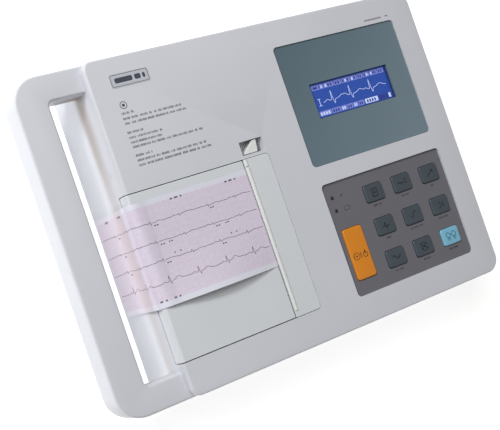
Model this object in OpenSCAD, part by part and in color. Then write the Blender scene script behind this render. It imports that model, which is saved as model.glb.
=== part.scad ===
// Portable three-channel electrocardiograph with a fixed carrying handle.
// Origin: centre of the footprint on the table. +X runs from the handle to the
// key side, +Y to the rear, +Z up. All sizes in millimetres.

/* [Case] */
// Overall length along X, handle included
case_l = 370; // [368:1:374]
// Overall depth along Y
case_w = 260; // [260:1:264]
// Overall height of the raised top above the table
case_h = 70; // [70:0.5:73]
// Wall thickness of the case mouldings
wall = 2.5; // [2.2:0.1:2.8]
// Plan radius of the corners on the key side
corner_r = 13; // [10:1:15]
// Radius of the long rounded edge beside the handle
nose_r = 7; // [6:0.5:7.5]

/* [Handle] */
// How far the handle loop stands out from the raised body
handle_reach = 55; // [54:1:56]
// Width of the grip bar
grip_w = 25; // [23:1:27]
// Width of the two handle arms
arm_w = 20.5; // [18:0.5:22]
// Drop from the raised top to the handle's top face
handle_drop = 7; // [6:0.5:8]
// Outer corner radius of the handle loop
handle_r = 21; // [16:1:24]

/* [Printer] */
// Width of the recording paper
paper_w = 80; // [76:1:80]
// Outer radius of the full paper roll
roll_r = 24.5; // [18:0.5:24.5]
// Radius of the platen roller
platen_r = 6; // [5.8:0.1:6]
// Gear module of the paper drive
gear_m = 0.8; // [0.8:0.01:0.8]
// How far the door opens, in degrees
door_open = 95; // [60:5:95]

/* [Keys] */
// Key cap length along X
key_l = 19.4; // [17:0.1:20]
// Key cap depth along Y
key_w = 14.8; // [13:0.1:15.5]
// Height of the key tops above the fascia
key_proud = 1.1; // [0.8:0.1:1.5]
// Key travel
key_travel = 0.8; // [0.4:0.1:0.8]

/* [Hidden] */
$fn = 64;
e = 0.01;

xl = -case_l/2;               // outer face of the grip
xr = case_l/2;                // key side
xb = xl + handle_reach;       // left edge of the raised body
xw = xb - 5;                  // foot of the drafted wall in the gap
yb = case_w/2;
zt = case_h;                  // raised top
zf = 4;                       // underside of the bottom case
zs = 41;                      // parting line of the two cases
zr = zt - wall;               // underside of the roof
zh = zt - handle_drop;        // top of the handle
pivot = [xb + 2.6, zt - 10.8];        // door hinge axis in X, Z
platen = [xb + 96, zt - 9.5];         // platen axis in X, Z
idler = [platen[0], platen[1] - gear_m*23];
motor = [idler[0] + gear_m*20*cos(-60), idler[1] + gear_m*20*sin(-60)];
roll = [xb + 45, zt - 32.5];
bay_x1 = xb + 128;            // right edge of the head cover opening
slot_x = xb + 102.8;          // right edge of the door
bay_y0 = -103.5;
bay_y1 = 27.4;
px0 = 20; px1 = 150;          // rear panel window
screw_at = [[-121, 120], [-121, -120], [8, 121], [8, -121], [173, 117], [173, -117]];
foot_at = [[-112, 104], [-112, -104], [160, 104], [160, -104]];
key_x = [83.2, 113.7, 144.7];
key_y = [-30.5, -59.5, -87.7];
fas_z = zt - 1.7;             // fascia surface
key_z0 = fas_z - 3.7;         // underside of a key at rest
y_p0 = -59.8; y_p1 = 19.2;    // rubber sleeve of the platen
y_g0 = -70; y_g1 = -66;       // gear faces

// Outline with round corners, left radius a and right radius b.
module outline(x0, y0, x1, y1, a, b) {
  union() {
    translate([x0 + a, y0]) square([x1 - x0 - a - b, y1 - y0]);
    translate([x0, y0 + a]) square([a + 1, y1 - y0 - 2*a]);
    translate([x1 - b - 1, y0 + b]) square([b + 1, y1 - y0 - 2*b]);
    for (y = [y0 + a, y1 - a]) translate([x0 + a, y]) circle(a);
    for (y = [y0 + b, y1 - b]) translate([x1 - b, y]) circle(b);
  }
}
// Extrudes an X, Z outline along Y, from y0 to y1.
module along_y(y0, y1) translate([0, y1, 0]) rotate([90, 0, 0]) linear_extrude(y1 - y0) children();
module rod_y(c, y0, y1, r) along_y(y0, y1) translate(c) circle(r);
module rod_x(x0, x1, y, z, r) translate([x0, y, z]) rotate([0, 90, 0]) cylinder(h = x1 - x0, r = r);
module bar(x0, x1, y0, y1, z0, z1) translate([x0, y0, z0]) cube([x1 - x0, y1 - y0, z1 - z0]);
module slab(x0, y0, x1, y1, r, z0, z1) translate([0, 0, z0]) linear_extrude(z1 - z0) outline(x0, y0, x1, y1, r, r);
function arc(c, r, a0, a1, n) = [for (i = [0:n]) let (a = a0 + (a1 - a0)*i/n) c + r*[cos(a), sin(a)]];
function rev(p) = [for (i = [len(p) - 1:-1:0]) p[i]];

// Involute spur gear, 25 degree pressure angle, stub teeth with backlash.
function inv_deg(a) = (tan(a) - a*PI/180)*180/PI;
function flank(z, k, n) = let (rp = gear_m*z/2, rb = rp*cos(25), ro = rp + 0.75*gear_m,
    r = rb + (ro - rb)*k/n, a = acos(rb/r),
    half = 90/z - 0.06/rp*180/PI + inv_deg(25) - inv_deg(a)) [r, half];
function tooth(z, t) = let (rp = gear_m*z/2, rr = rp - 1.1*gear_m, n = 5, f0 = flank(z, 0, n))
    concat([[rr, t - f0[1] - 0.6*90/z/2]], [for (k = [0:n]) let (f = flank(z, k, n)) [f[0], t - f[1]]],
           [for (k = [n:-1:0]) let (f = flank(z, k, n)) [f[0], t + f[1]]], [[rr, t + f0[1] + 0.6*90/z/2]]);
module gear2d(z, phase) polygon([for (i = [0:z - 1]) for (p = tooth(z, phase + i*360/z)) p[0]*[cos(p[1]), sin(p[1])]]);

// Round-wire compression spring along +Z, n turns.
module coil(r, w, h, n) {
  m = n*10; s = 5;
  pts = [for (i = [0:m]) let (a = 360*n*i/m, z = w + (h - 2*w)*i/m)
         for (j = [0:s - 1]) let (q = 360*j/s) [(r + w*cos(q))*cos(a), (r + w*cos(q))*sin(a), z + w*sin(q)]];
  faces = concat([[for (j = [0:s - 1]) j]], [[for (j = [s - 1:-1:0]) m*s + j]],
    [for (i = [0:m - 1]) for (j = [0:s - 1]) [i*s + j, (i + 1)*s + j, (i + 1)*s + (j + 1)%s]],
    [for (i = [0:m - 1]) for (j = [0:s - 1]) [i*s + j, (i + 1)*s + (j + 1)%s, i*s + (j + 1)%s]]);
  polyhedron(pts, faces);
}

// ---------------------------------------------------------------- case
module drafted(d) polygon([[xw + d, zf - 1], [xr + 5, zf - 1], [xr + 5, zs + 1], [xw + 4 + d, zs + 1]]);

module bottom_case() color([0.86, 0.87, 0.88]) difference() {
  union() {
    difference() {
      intersection() {
        translate([0, 0, zf]) linear_extrude(zs - zf) outline(xw, -yb, xr, yb, 10, corner_r);
        along_y(-yb - 1, yb + 1) drafted(0);
      }
      intersection() {
        translate([0, 0, zf + wall]) linear_extrude(zs) outline(xw + wall, -yb + wall, xr - wall, yb - wall, 8, corner_r - wall);
        along_y(-yb - 1, yb + 1) drafted(wall);
      }
    }
    for (p = screw_at) translate([p[0], p[1], zf + 1]) cylinder(h = zs - zf - 1, r = 4.5);
    // pocket of the side connectors
    bar(xr - 10, xr - 1, -63, 23, 10, 36);
    // battery walls
    difference() {
      bar(-102.2, -9.8, 40.5, 119.5, zf + 1, 28);
      bar(-100, -12, 42.7, 117.3, zf, 29);
    }
    // standoffs of the two boards
    for (x = [18, 160], y = [-108, 22]) translate([x, y, zf + 1]) cylinder(h = 9, r = 3.5);
    for (x = [36, 144], y = [46, 92]) translate([x, y, zf + 1]) cylinder(h = 7, r = 3.5);
    // posts under the printer chassis
    for (x = [-118, -14], y = [-96, 20]) translate([x, y, zf + 1]) cylinder(h = 5, r = 4);
  }
  for (p = screw_at) translate([p[0], p[1], 0]) { cylinder(h = zs + 1, r = 1.75); cylinder(h = 28, r = 3.3); }
  for (p = foot_at) translate([p[0], p[1], 0]) cylinder(h = 9, r = 3);
  for (x = [18, 160], y = [-108, 22]) translate([x, y, zf + 2]) cylinder(h = 12, r = 1.2);
  for (x = [36, 144], y = [46, 92]) translate([x, y, zf + 2]) cylinder(h = 12, r = 1.2);
  bar(-98, -14, 43, 117, zf - 1, zf + wall + e);
  bar(px0, px1, yb - wall - 1, yb + 1, 9, 37);
  bar(xr - 7.5, xr + 1, -60.5, 20.5, 12.5, 33.5);
  bar(xr - 11, xr - 6, -42, -14, 17.5, 28.5);
  bar(xr - 11, xr - 6, -1, 13, 18.5, 27.5);
}

module body_outer() intersection() {
  translate([0, 0, zs]) linear_extrude(zt) outline(xb, -yb, xr, yb, 10, corner_r);
  along_y(-yb - 1, yb + 1) union() {
    nose2d(nose_r, 0);
    translate([xr - 2.5, 0]) square([2.5, zt - 2.5]);
    translate([xr - 2.5, zt - 2.5]) circle(2.5);
  }
  translate([xb - 1, 0, 0]) rotate([90, 0, 90]) linear_extrude(case_l) union() {
    translate([-yb, 0]) square([2*yb, zt - 2.5]);
    translate([-yb + 2.5, 0]) square([2*yb - 5, zt]);
    for (y = [-yb + 2.5, yb - 2.5]) translate([y, zt - 2.5]) circle(2.5);
  }
}
module nose2d(r, d) union() {
  translate([xb + nose_r, 0]) square([xr - 2.5 - xb - nose_r, zt - d]);
  translate([xb + d, 0]) square([nose_r + 1, zt - nose_r]);
  translate([xb + nose_r, zt - nose_r]) circle(r);
}
// The handle loop in plan, inset by i.
module loop2d(i) difference() {
  outline(xl + i, -yb + i, xb + (i > 0 ? 0 : 1), yb - i, handle_r - i, 1);
  outline(xl + grip_w - i, -yb + arm_w - i, xb + 8, yb - arm_w + i, 4 + i, 1);
}

module top_case() color([0.80, 0.81, 0.83]) difference() {
  union() {
    difference() {
      body_outer();
      intersection() {
        translate([0, 0, zs - 1]) linear_extrude(zr - zs + 1) outline(xb + wall, -yb + wall, xr - wall, yb - wall, 8, corner_r - wall);
        along_y(-yb - 1, yb + 1) nose2d(nose_r - wall, wall);
      }
    }
    difference() {
      translate([0, 0, zs + 9]) linear_extrude(zh - zs - 9) loop2d(0);
      translate([0, 0, zs + 8]) linear_extrude(zh - zs - 8 - 2.2) loop2d(2.2);
    }
    // corner blocks that carry the handle arms
    for (y = [-yb, yb - 12]) bar(xb, xb + 12, y, y + 12, zs, zh);
    // ledges of the display window and of the keypad
    bar(31, 163.5, 1.5, 110, zt - 5.4, zr + 0.5);
    bar(31.8, 164.5, -109.8, -9, zt - 5.7, zr + 0.5);
    for (p = [[35.5, -106], [160.8, -106], [34.6, 106.6], [160, 106.6]]) translate([p[0], p[1], zt - 10]) cylinder(h = 8, r = 2.6);
    // ribs round the printer bay
    bar(xb + 1, bay_x1 + 2, bay_y1, bay_y1 + 2.2, zt - 15, zr + 0.5);
    bar(xb + 1, bay_x1 + 2, bay_y0 - 2.2, bay_y0, zt - 15, zr + 0.5);
    bar(bay_x1, bay_x1 + 2.2, bay_y0 - 2.2, bay_y1 + 2.2, zt - 12, zr + 0.5);
    rod_y(pivot, bay_y1, bay_y1 + 6, 2.6);
    rod_y(pivot, bay_y0 - 6, bay_y0, 2.6);
    // pocket of the latch
    bar(-27, -2, 28.5, 43, zt - 11.5, zr + 0.5);
    bar(-4.2, -2.2, 29.6, 35, zt - 18, zt - 11);
    for (p = screw_at) translate([p[0], p[1], zs]) cylinder(h = zr - zs + 0.5, r = 4);
  }
  // printer bay, open through the rounded edge
  translate([0, 0, zt - 14.1]) linear_extrude(20) outline(xb - 2, bay_y0, bay_x1, bay_y1, 0.5, 3);
  // latch recess and the slot of its lever
  bar(-25, -4, 30, 41, zt - 9.5, zt + 1);
  bar(-18, -7.5, 30.4, 34.8, zt - 13, zt);
  // display
  translate([0, 0, zt - 2.7]) linear_extrude(5) outline(33.5, 4, 161, 107.3, 3.6, 3.6);
  bar(36.5, 158, 7, 104.3, zt - 8, zt);
  // keypad
  translate([0, 0, zt - 3.2]) linear_extrude(5) outline(34.3, -107.3, 162, -11.5, 3.6, 3.6);
  bar(37.5, 158.8, -104, -14.8, zt - 8, zt);
  rod_y(pivot, bay_y1 - 1, bay_y1 + 4.6, 1.25);
  rod_y(pivot, bay_y0 - 4.6, bay_y0 + 1, 1.25);
  for (p = screw_at) translate([p[0], p[1], zs - 1]) cylinder(h = 14, r = 1.5);
  for (p = [[35.5, -106], [160.8, -106], [34.6, 106.6], [160, 106.6]]) translate([p[0], p[1], zt - 11]) cylinder(h = 4.4, r = 1);
}

module handle_lower_cover() color([0.80, 0.81, 0.83]) difference() {
  translate([0, 0, zs]) linear_extrude(9) loop_cover2d(0);
  translate([0, 0, zs + 2.2]) linear_extrude(9) loop_cover2d(2.2);
}
module loop_cover2d(i) difference() {
  outline(xl + i, -yb + i, xb - i, yb - i, handle_r - i, 1);
  outline(xl + grip_w - i, -yb + arm_w - i, xb + 8, yb - arm_w + i, 4 + i, 1);
}

module rubber_feet() color([0.15, 0.15, 0.16]) for (p = foot_at) translate([p[0], p[1], 0]) {
  cylinder(h = zf, r = 9);
  cylinder(h = zf + 4, r = 2.95);
}
module case_screws() color([0.7, 0.7, 0.72]) for (p = screw_at) translate([p[0], p[1], 25.6]) difference() {
  union() { cylinder(h = 2.4, r = 3); cylinder(h = 24, r = 1.5); }
  for (a = [0, 90]) rotate(a) translate([-1.8, -0.4, -1]) cube([3.6, 0.8, 2.2]);
}
module battery_cover() color([0.84, 0.85, 0.86]) {
  bar(-97.7, -14.3, 43.3, 116.7, zf, zf + wall - 0.2);
  for (y = [60, 94]) { bar(-99.4, -93, y, y + 6, zf + wall, zf + wall + 1.2); bar(-95, -93, y, y + 6, zf + 1, zf + wall + 1.2);
    bar(-19, -12.6, y, y + 6, zf + wall, zf + wall + 1.2); bar(-19, -17, y, y + 6, zf + 1, zf + wall + 1.2); }
}
module battery_pack() color([0.25, 0.35, 0.55]) slab(-95, 46, -17, 114, 3, 8.2, 38);

// ---------------------------------------------------------------- rear
module rear_panel() color([0.84, 0.85, 0.86]) difference() {
  bar(px0 + 0.2, px1 - 0.2, yb - 10.5, yb - 0.2, 9.2, 36.8);
  bar(px0 + 2.2, px1 - 2.2, yb - 8, yb + 1, 11.2, 34.8);
  bar(31.5, 58.9, yb - 12, yb, 13.1, 33);
  bar(75.4, 94.6, yb - 12, yb, 16.4, 29.6);
  for (x = [109, 125]) along_y(yb - 12, yb) translate([x, 23]) circle(4.9);
  along_y(yb - 12, yb) translate([140, 23]) circle(3);
}
module inlet_mouth() polygon([[33.2, 15.3], [57.2, 15.3], [57.2, 26.8], [53.2, 30.8], [37.2, 30.8], [33.2, 26.8]]);
module mains_inlet() color([0.13, 0.13, 0.14]) difference() {
  union() { bar(31.7, 58.7, yb - 32, yb - 7.9, 13.3, 32.8); bar(29.8, 60.6, yb - 7.9, yb - 5.5, 11.6, 34.4); }
  along_y(yb - 24, yb) inlet_mouth();
  for (c = [[45.2, 26], [38.2, 20.4], [52.2, 20.4]]) bar(c[0] - 1, c[0] + 1, yb - 33, yb - 20, c[1] - 2, c[1] + 2);
}
module inlet_pins() color([0.75, 0.75, 0.76]) for (c = [[45.2, 26], [38.2, 20.4], [52.2, 20.4]])
  bar(c[0] - 1, c[0] + 1, yb - 38, yb - 9, c[1] - 2, c[1] + 2);
module switch_body() color([0.13, 0.13, 0.14]) difference() {
  union() { bar(75.6, 94.4, yb - 26, yb - 7.9, 16.6, 29.4); bar(73.4, 96.6, yb - 7.9, yb - 6.5, 14, 32); }
  translate([85, yb - 8.5, 16.9]) cylinder(h = 12.2, r = 7.8);
}
module power_rocker() color([0.2, 0.2, 0.21]) translate([85, yb - 8.5, 17.2]) rotate(8) intersection() {
  cylinder(h = 11.6, r = 7.2);
  linear_extrude(11.6) polygon([[-8, -3.5], [8, -3.5], [8, 3.8], [0, 2.6], [-8, 3.8]]);
}
module fuse_holders() color([0.13, 0.13, 0.14]) for (x = [109, 125]) difference() {
  union() { along_y(yb - 7.9, yb - 3) translate([x, 23]) circle(6); along_y(yb - 25, yb - 7.9) translate([x, 23]) circle(4.8); }
  bar(x - 3, x + 3, yb - 4.2, yb, 22.4, 23.6);
}
module ground_post() color([0.75, 0.72, 0.6]) {
  along_y(yb - 18, yb - 1) translate([140, 23]) circle(2.9);
  along_y(yb - 7.9, yb - 5) translate([140, 23]) circle(5.2, $fn = 6);
  along_y(yb - 14, yb - 10.6) translate([140, 23]) circle(5.2, $fn = 6);
}

// ---------------------------------------------------------------- side
module dsub(h, i) translate([0, 0, 0]) linear_extrude(h) polygon([[-12.6 + i, 4.2 - i], [12.6 - i, 4.2 - i], [11.2 - i, -4.2 + i], [-11.2 + i, -4.2 + i]]);
module on_side(y, z) translate([xr - 7.5, y, z]) rotate([90, 0, 90]) children();
module patient_connector() color([0.75, 0.75, 0.77]) on_side(-28, 23) difference() {
  union() {
    translate([-19.6, -6.25, 0]) cube([39.2, 12.5, 1]);
    translate([-13, -5.2, -9]) cube([26, 10.4, 9.5]);
    dsub(6.4, 0);
    for (s = [-16.65, 16.65]) translate([s, 0, 0.5]) cylinder(h = 5, r = 2.6, $fn = 6);
  }
  for (i = [0:7]) translate([-9.7 + 2.77*i, 1.42, 0]) cylinder(h = 8, r = 0.6);
  for (i = [0:6]) translate([-8.3 + 2.77*i, -1.42, 0]) cylinder(h = 8, r = 0.6);
  for (s = [-16.65, 16.65]) translate([s, 0, 1]) cylinder(h = 6, r = 1.3);
}
module serial_port() color([0.75, 0.75, 0.77]) on_side(6, 23) {
  difference() {
    translate([-6.6, -3.3, -9.4]) cube([13.2, 6.6, 10.6]);
    translate([-6.1, -2.8, -8]) cube([12.2, 5.6, 12]);
  }
  translate([-6.15, 0, -8.2]) cube([12.3, 2, 8.6]);
}

// ---------------------------------------------------------------- boards
module main_board() color([0.1, 0.4, 0.25]) difference() {
  union() {
    bar(6, 166, -114, 30, 14, 15.6);
    for (c = [[50, -60, 20, 20, 2.4], [90, -20, 24, 14, 3], [120, -70, 16, 16, 2], [40, 0, 30, 10, 6], [140, -100, 12, 12, 9], [100, -96, 18, 8, 5], [24, -84, 8, 22, 6]])
      bar(c[0], c[0] + c[2], c[1], c[1] + c[3], 15.5, 15.6 + c[4]);
  }
  for (x = [18, 160], y = [-108, 22]) translate([x, y, 13]) cylinder(h = 4, r = 1.5);
}
module power_board() color([0.1, 0.4, 0.25]) difference() {
  union() {
    bar(30, 150, 40, 97, 12, 13.6);
    bar(110, 128, 50, 70, 13.5, 31);
    for (x = [134, 142], y = [52, 66]) translate([x, y, 13.5]) cylinder(h = 16, r = 3.4);
    bar(34, 40, 66, 84, 13.5, 34);
  }
  for (x = [36, 144], y = [46, 92]) translate([x, y, 11]) cylinder(h = 4, r = 1.5);
}
module transformer() color([0.55, 0.35, 0.2]) {
  bar(50, 100, 46, 90, 13.6, 20);
  bar(58, 92, 42.5, 93.5, 19, 46);
  bar(50, 100, 46, 90, 45, 51);
  bar(50, 56, 46, 90, 19, 46);
  bar(94, 100, 46, 90, 19, 46);
}
module board_screws() color([0.7, 0.7, 0.72]) {
  for (x = [18, 160], y = [-108, 22]) translate([x, y, 8]) { cylinder(h = 9, r = 1.2); translate([0, 0, 7.6]) cylinder(h = 1.8, r = 2.6); }
  for (x = [36, 144], y = [46, 92]) translate([x, y, 7]) { cylinder(h = 8, r = 1.2); translate([0, 0, 6.6]) cylinder(h = 1.8, r = 2.6); }
  for (p = [[35.5, -106], [160.8, -106], [34.6, 106.6], [160, 106.6]]) translate([p[0], p[1], zt - 13.4]) { cylinder(h = 6, r = 1); cylinder(h = 1.8, r = 2.2); }
}

// ---------------------------------------------------------------- display and keys
module display_window() color([0.36, 0.43, 0.46]) slab(33.7, 4.2, 160.8, 107.1, 3.4, zt - 2.7, zt - 1.2);
module lcd_frame() color([0.6, 0.6, 0.62]) difference() {
  bar(50, 146, 34, 79.5, zt - 10, zt - 3.1);
  bar(52, 144, 36, 77.5, zt - 11, zt - 4.1);
  bar(55.6, 140, 40.6, 71.8, zt - 6, zt - 1);
}
module lcd_glass() color([0.25, 0.35, 0.7]) bar(52.3, 143.7, 36.3, 77.2, zt - 7.8, zt - 4.2);
module panel_board() color([0.1, 0.4, 0.25]) difference() {
  slab(32.5, -109, 164, 110, 3, zt - 11.6, zt - 10);
  for (p = [[35.5, -106], [160.8, -106], [34.6, 106.6], [160, 106.6]]) translate([p[0], p[1], zt - 13]) cylinder(h = 4, r = 1.15);
}
module key_shape(x, y, l, w, z0, z1, d) slab(x - l/2 - d, y - w/2 - d, x + l/2 + d, y + w/2 + d, 2.4, z0, z1);
module cap(x, y, l, w) {
  key_shape(x, y, l, w, key_z0 + 0.6, fas_z + key_proud, 0);
  key_shape(x, y, l, w, key_z0, key_z0 + 1.2, 0.9);
}
module keypad_fascia() color([0.42, 0.40, 0.42]) difference() {
  slab(34.5, -107.1, 161.8, -11.7, 3.4, zt - 3.2, fas_z);
  for (x = key_x, y = key_y) key_shape(x, y, key_l, key_w, zt - 5, zt, 0.35);
  key_shape(49.75, -73.25, 19.5, 43.5, zt - 5, zt, 0.35);
  for (y = [-24, -35]) translate([42, y, zt - 5]) cylinder(h = 5, r = 1.6);
}
module key_mat() color([0.5, 0.5, 0.52]) {
  bar(68, 158, -100, -18, zt - 10, key_z0 - key_travel - 0.3);
  bar(38, 61, -97, -49, zt - 10, key_z0 - key_travel - 0.3);
  bar(60, 69, -80, -66, zt - 10, key_z0 - key_travel - 0.3);
}
module dark_key(i) color([0.30, 0.34, 0.38]) cap(key_x[i % 3], key_y[floor(i/3)], key_l, key_w);
module key_1() dark_key(0);
module key_2() dark_key(1);
module key_3() dark_key(2);
module key_4() dark_key(3);
module key_5() dark_key(4);
module key_6() dark_key(5);
module key_7() dark_key(6);
module key_8() dark_key(7);
module key_blue() color([0.53, 0.76, 0.88]) cap(key_x[2], key_y[2], key_l, key_w);
module key_start() color([0.82, 0.50, 0.16]) cap(49.75, -73.25, 19.5, 43.5);
module status_lights() color([0.3, 0.6, 0.35]) for (y = [-24, -35]) translate([42, y, zt - 10]) {
  cylinder(h = 8.8, r = 1.5);
  cylinder(h = 1, r = 2);
}

// ---------------------------------------------------------------- printer
module head_cover() color([0.82, 0.83, 0.85]) {
  translate([0, 0, zr]) linear_extrude(wall) outline(slot_x + 1, bay_y0 + 0.3, bay_x1 - 0.3, bay_y1 - 0.3, 0.5, 2.7);
  bar(bay_x1 - 4.5, bay_x1 - 2.5, bay_y0 + 4, bay_y1 - 4, zt - 10, zr);
}
module printer_chassis() color([0.25, 0.25, 0.27]) difference() {
  union() {
    // two side plates of the roll well
    along_y(-64.5, -62.5) plate2d();
    along_y(22.5, 24.5) plate2d();
    // the well that holds the roll
    along_y(-63, 23) polygon(concat(arc(roll, 28, 180, 312, 24), [[roll[0] + 30, roll[1] - 14], [roll[0] + 28.6, roll[1] - 14]],
      rev(arc(roll, 26, 180, 314, 24))));
    along_y(-63, 23) polygon([roll + [-28, -1], roll + [-26, -1], roll + [-26, 14], roll + [-28, 14]]);
    // stop of the head springs and feet
    along_y(-63, 23) polygon([[xb + 118, 24], [xb + 120, 24], [xb + 120, zt - 6], [xb + 118, zt - 6]]);
    along_y(-63, 23) polygon([[xb + 88, 24], [xb + 119, 24], [xb + 119, 26], [xb + 88, 26]]);
    // motor plate
    along_y(-74, -72.5) polygon([[xb + 85, 10], [xb + 124, 10], [xb + 124, zt - 20], [xb + 85, zt - 20]]);
    bar(xb + 85, xb + 124, -74, -64, 10, 12);
    for (x = [-118, -14], y = [-96, 20]) bar(x - 5, x + 5, y - 5, y + (y > 0 ? 4 : 5), 10, 11.5);
    bar(-123, -113, -96, -62.6, 10, 11.5);
    bar(-19, -9, -96, -62.6, 10, 11.5);
    bar(-123, roll[0] - 20, 14, 24, 10, 11.5);
    bar(-35, -9, 14, 24, 10, 11.5);
  }
  for (y = [-64.6, 22.4]) bar(platen[0] - 3.6, platen[0] + 3.6, y - 0.2, y + 2.4, platen[1] - 3, zt);
  rod_y(roll, -66, 26, 3);
  rod_y(idler, -76, -60, 1.5);
  rod_y(motor, -76, -71, 5);
  for (s = [-21, 21]) rod_y(motor + [s*cos(20), s*sin(20)], -76, -71, 1.6);
  for (x = [-118, -14], y = [-96, 20]) translate([x, y, 9]) cylinder(h = 4, r = 1.6);
}
module plate2d() difference() {
  polygon([[xb + 6, 10], [xb + 121, 10], [xb + 121, zt - 6], [xb + 86, zt - 6], [xb + 70, zt - 9], [xb + 20, zt - 9], [xb + 6, zt - 18]]);
  translate(roll) circle(9);
  translate([roll[0], roll[1]]) square([18, 60]);
}
module print_head() color([0.8, 0.78, 0.72]) bar(platen[0] + 6.6, platen[0] + 7.6, -61, 21, platen[1] - 8, platen[1] + 4);
module head_bracket() color([0.7, 0.7, 0.72]) {
  bar(platen[0] + 7.6, platen[0] + 10.6, -61.8, 21.8, platen[1] - 10, platen[1] + 3.4);
  for (z = [-8, -4.6, -1.2]) bar(platen[0] + 10.5, platen[0] + 13.4, -58, 18, platen[1] + z, platen[1] + z + 1.2);
}
module head_springs() color([0.6, 0.6, 0.62]) for (y = [-60.3, 20.3])
  translate([platen[0] + 10.6, y, platen[1] - 3.4]) rotate([0, 90, 0]) coil(1.1, 0.25, xb + 118 - platen[0] - 10.6, 6);
module stepper_motor() color([0.7, 0.7, 0.72]) {
  rod_y(motor, -97, -75, 17.5);
  difference() {
    union() {
      rod_y(motor, -75.2, -74, 17.5);
      rotate([0, 0, 0]) along_y(-75.2, -74) translate(motor) rotate(20) square([48, 8], center = true);
      for (s = [-21, 21]) rod_y(motor + [s*cos(20), s*sin(20)], -75.2, -74, 4);
    }
    for (s = [-21, 21]) rod_y(motor + [s*cos(20), s*sin(20)], -76, -73, 1.6);
    rod_y(motor, -80, -73, 1.2);
  }
}
module motor_pinion() color([0.75, 0.72, 0.5]) {
  along_y(y_g0 - 0.5, y_g1 + 0.5) translate(motor) gear2d(10, 120);
  rod_y(motor, -74.9, y_g1 + 0.5, 1);
}
module idler_gear() color([0.9, 0.9, 0.88]) difference() {
  union() { along_y(y_g0, y_g1) translate(idler) gear2d(30, 90); rod_y(idler, y_g0 - 0.8, y_g1 + 0.8, 4); }
  rod_y(idler, y_g0 - 2, y_g1 + 2, 1.55);
}
module idler_pin() color([0.7, 0.7, 0.72]) { rod_y(idler, -72.5, -62.5, 1.5); rod_y(idler, -62.5, -62, 2.6); }
module platen_gear() color([0.9, 0.9, 0.88]) difference() {
  along_y(y_g0, y_g1) translate(platen) gear2d(16, -90 + 11.25);
  rod_y(platen, -72, -64, 2);
}
module platen_shaft() color([0.75, 0.75, 0.77]) rod_y(platen, y_g0 - 0.8, 26.6, 2);
module platen_roller() color([0.16, 0.16, 0.17]) difference() {
  rod_y(platen, y_p0, y_p1, platen_r);
  rod_y(platen, -62, 22, 2);
}
module platen_brackets() color([0.25, 0.25, 0.27]) for (y = [[-62, -60.2], [19.6, 21.6]]) difference() {
  along_y(y[0], y[1]) polygon([[platen[0] - 6, zr], [platen[0] - 3.2, platen[1] - 3.2], [platen[0] + 3.2, platen[1] - 3.2], [platen[0] + 6, zr]]);
  rod_y(platen, -64, 24, 2.05);
}
module roll_spindle() color([0.85, 0.85, 0.86]) { rod_y(roll, -64.5, 24.5, 3); rod_y(roll, -62.4, 22.4, 5); }
module roll_core() color([0.62, 0.5, 0.36]) difference() { rod_y(roll, -61, -61 + paper_w, 7.5); rod_y(roll, -63, 23, 5.6); }
module paper_roll() color([0.93, 0.88, 0.9]) difference() { rod_y(roll, -61, -61 + paper_w, roll_r); rod_y(roll, -63, 23, 7.5); }
// web from the roll, under the platen and up into the slot
web_a = atan2(platen[1] - roll[1], platen[0] - roll[0]) - asin((roll_r + 0.4 + platen_r + 0.4)/norm(platen - roll));
function web_side(d) = concat([roll + (roll_r + 0.4 + d)*[-sin(web_a), cos(web_a)]],
  arc(platen, platen_r + 0.4 - d, web_a - 90, 0, 14), [[platen[0] + platen_r + 0.4 - d, zt - 5.4], [slot_x + 0.5 - d, zt - 2.8], [slot_x + 0.5 - d, zt - 0.6]]);
module paper_web() color([0.93, 0.88, 0.9]) along_y(-61 + 1, -61 + paper_w) polygon(concat(web_side(0), rev(web_side(0.2))));

// ---------------------------------------------------------------- door and printed strip
module door2d() union() {
  polygon([[xb + nose_r, zr], [slot_x, zr], [slot_x, zt], [xb + nose_r, zt]]);
  polygon(concat(arc([xb + nose_r, zt - nose_r], nose_r, 90, 180, 24), [[xb, pivot[1]], [xb + wall, pivot[1]]],
    rev(arc([xb + nose_r, zt - nose_r], nose_r - wall, 90, 180, 24))));
  translate(pivot) circle(2.6);
}
module paper_door() color([0.84, 0.85, 0.87]) difference() {
  union() {
    along_y(bay_y0 + 0.3, bay_y1 - 0.3) door2d();
    for (y = [-90, -78, -2, 12]) bar(xb + 14, xb + 82, y, y + 1.6, zt - 5.4, zr + 0.2);
  }
  rod_y(pivot, bay_y1 - 6.5, bay_y1 + 1, 1.3);
  rod_y(pivot, bay_y0 - 1, bay_y0 + 6.5, 1.3);
}
module door_hinge_pins() color([0.75, 0.75, 0.77]) {
  rod_y(pivot, bay_y1 - 6, bay_y1 + 4.6, 1.25);
  rod_y(pivot, bay_y0 - 4.6, bay_y0 + 6, 1.25);
}
module printed_strip() color([0.93, 0.88, 0.9]) along_y(-60.5, -60.5 + paper_w) polygon(concat(
  [[slot_x - 0.3, zt], [slot_x - 0.3, zt + 0.3]], arc([xb + nose_r, zt - nose_r], nose_r + 0.3, 90, 180, 24),
  rev(arc([xb + nose_r, zt - nose_r], nose_r, 90, 180, 24))));
module strip_tail() color([0.93, 0.88, 0.9]) along_y(-60.5, -60.5 + paper_w) polygon(
  [[xb - 0.8, zt - 15.2], [xb - 0.5, zt - 15.2], [xb - 1.1, zs + 0.2], [xw - 0.1, 7], [xw - 0.4, 7], [xb - 1.4, zs + 0.2]]);

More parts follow.
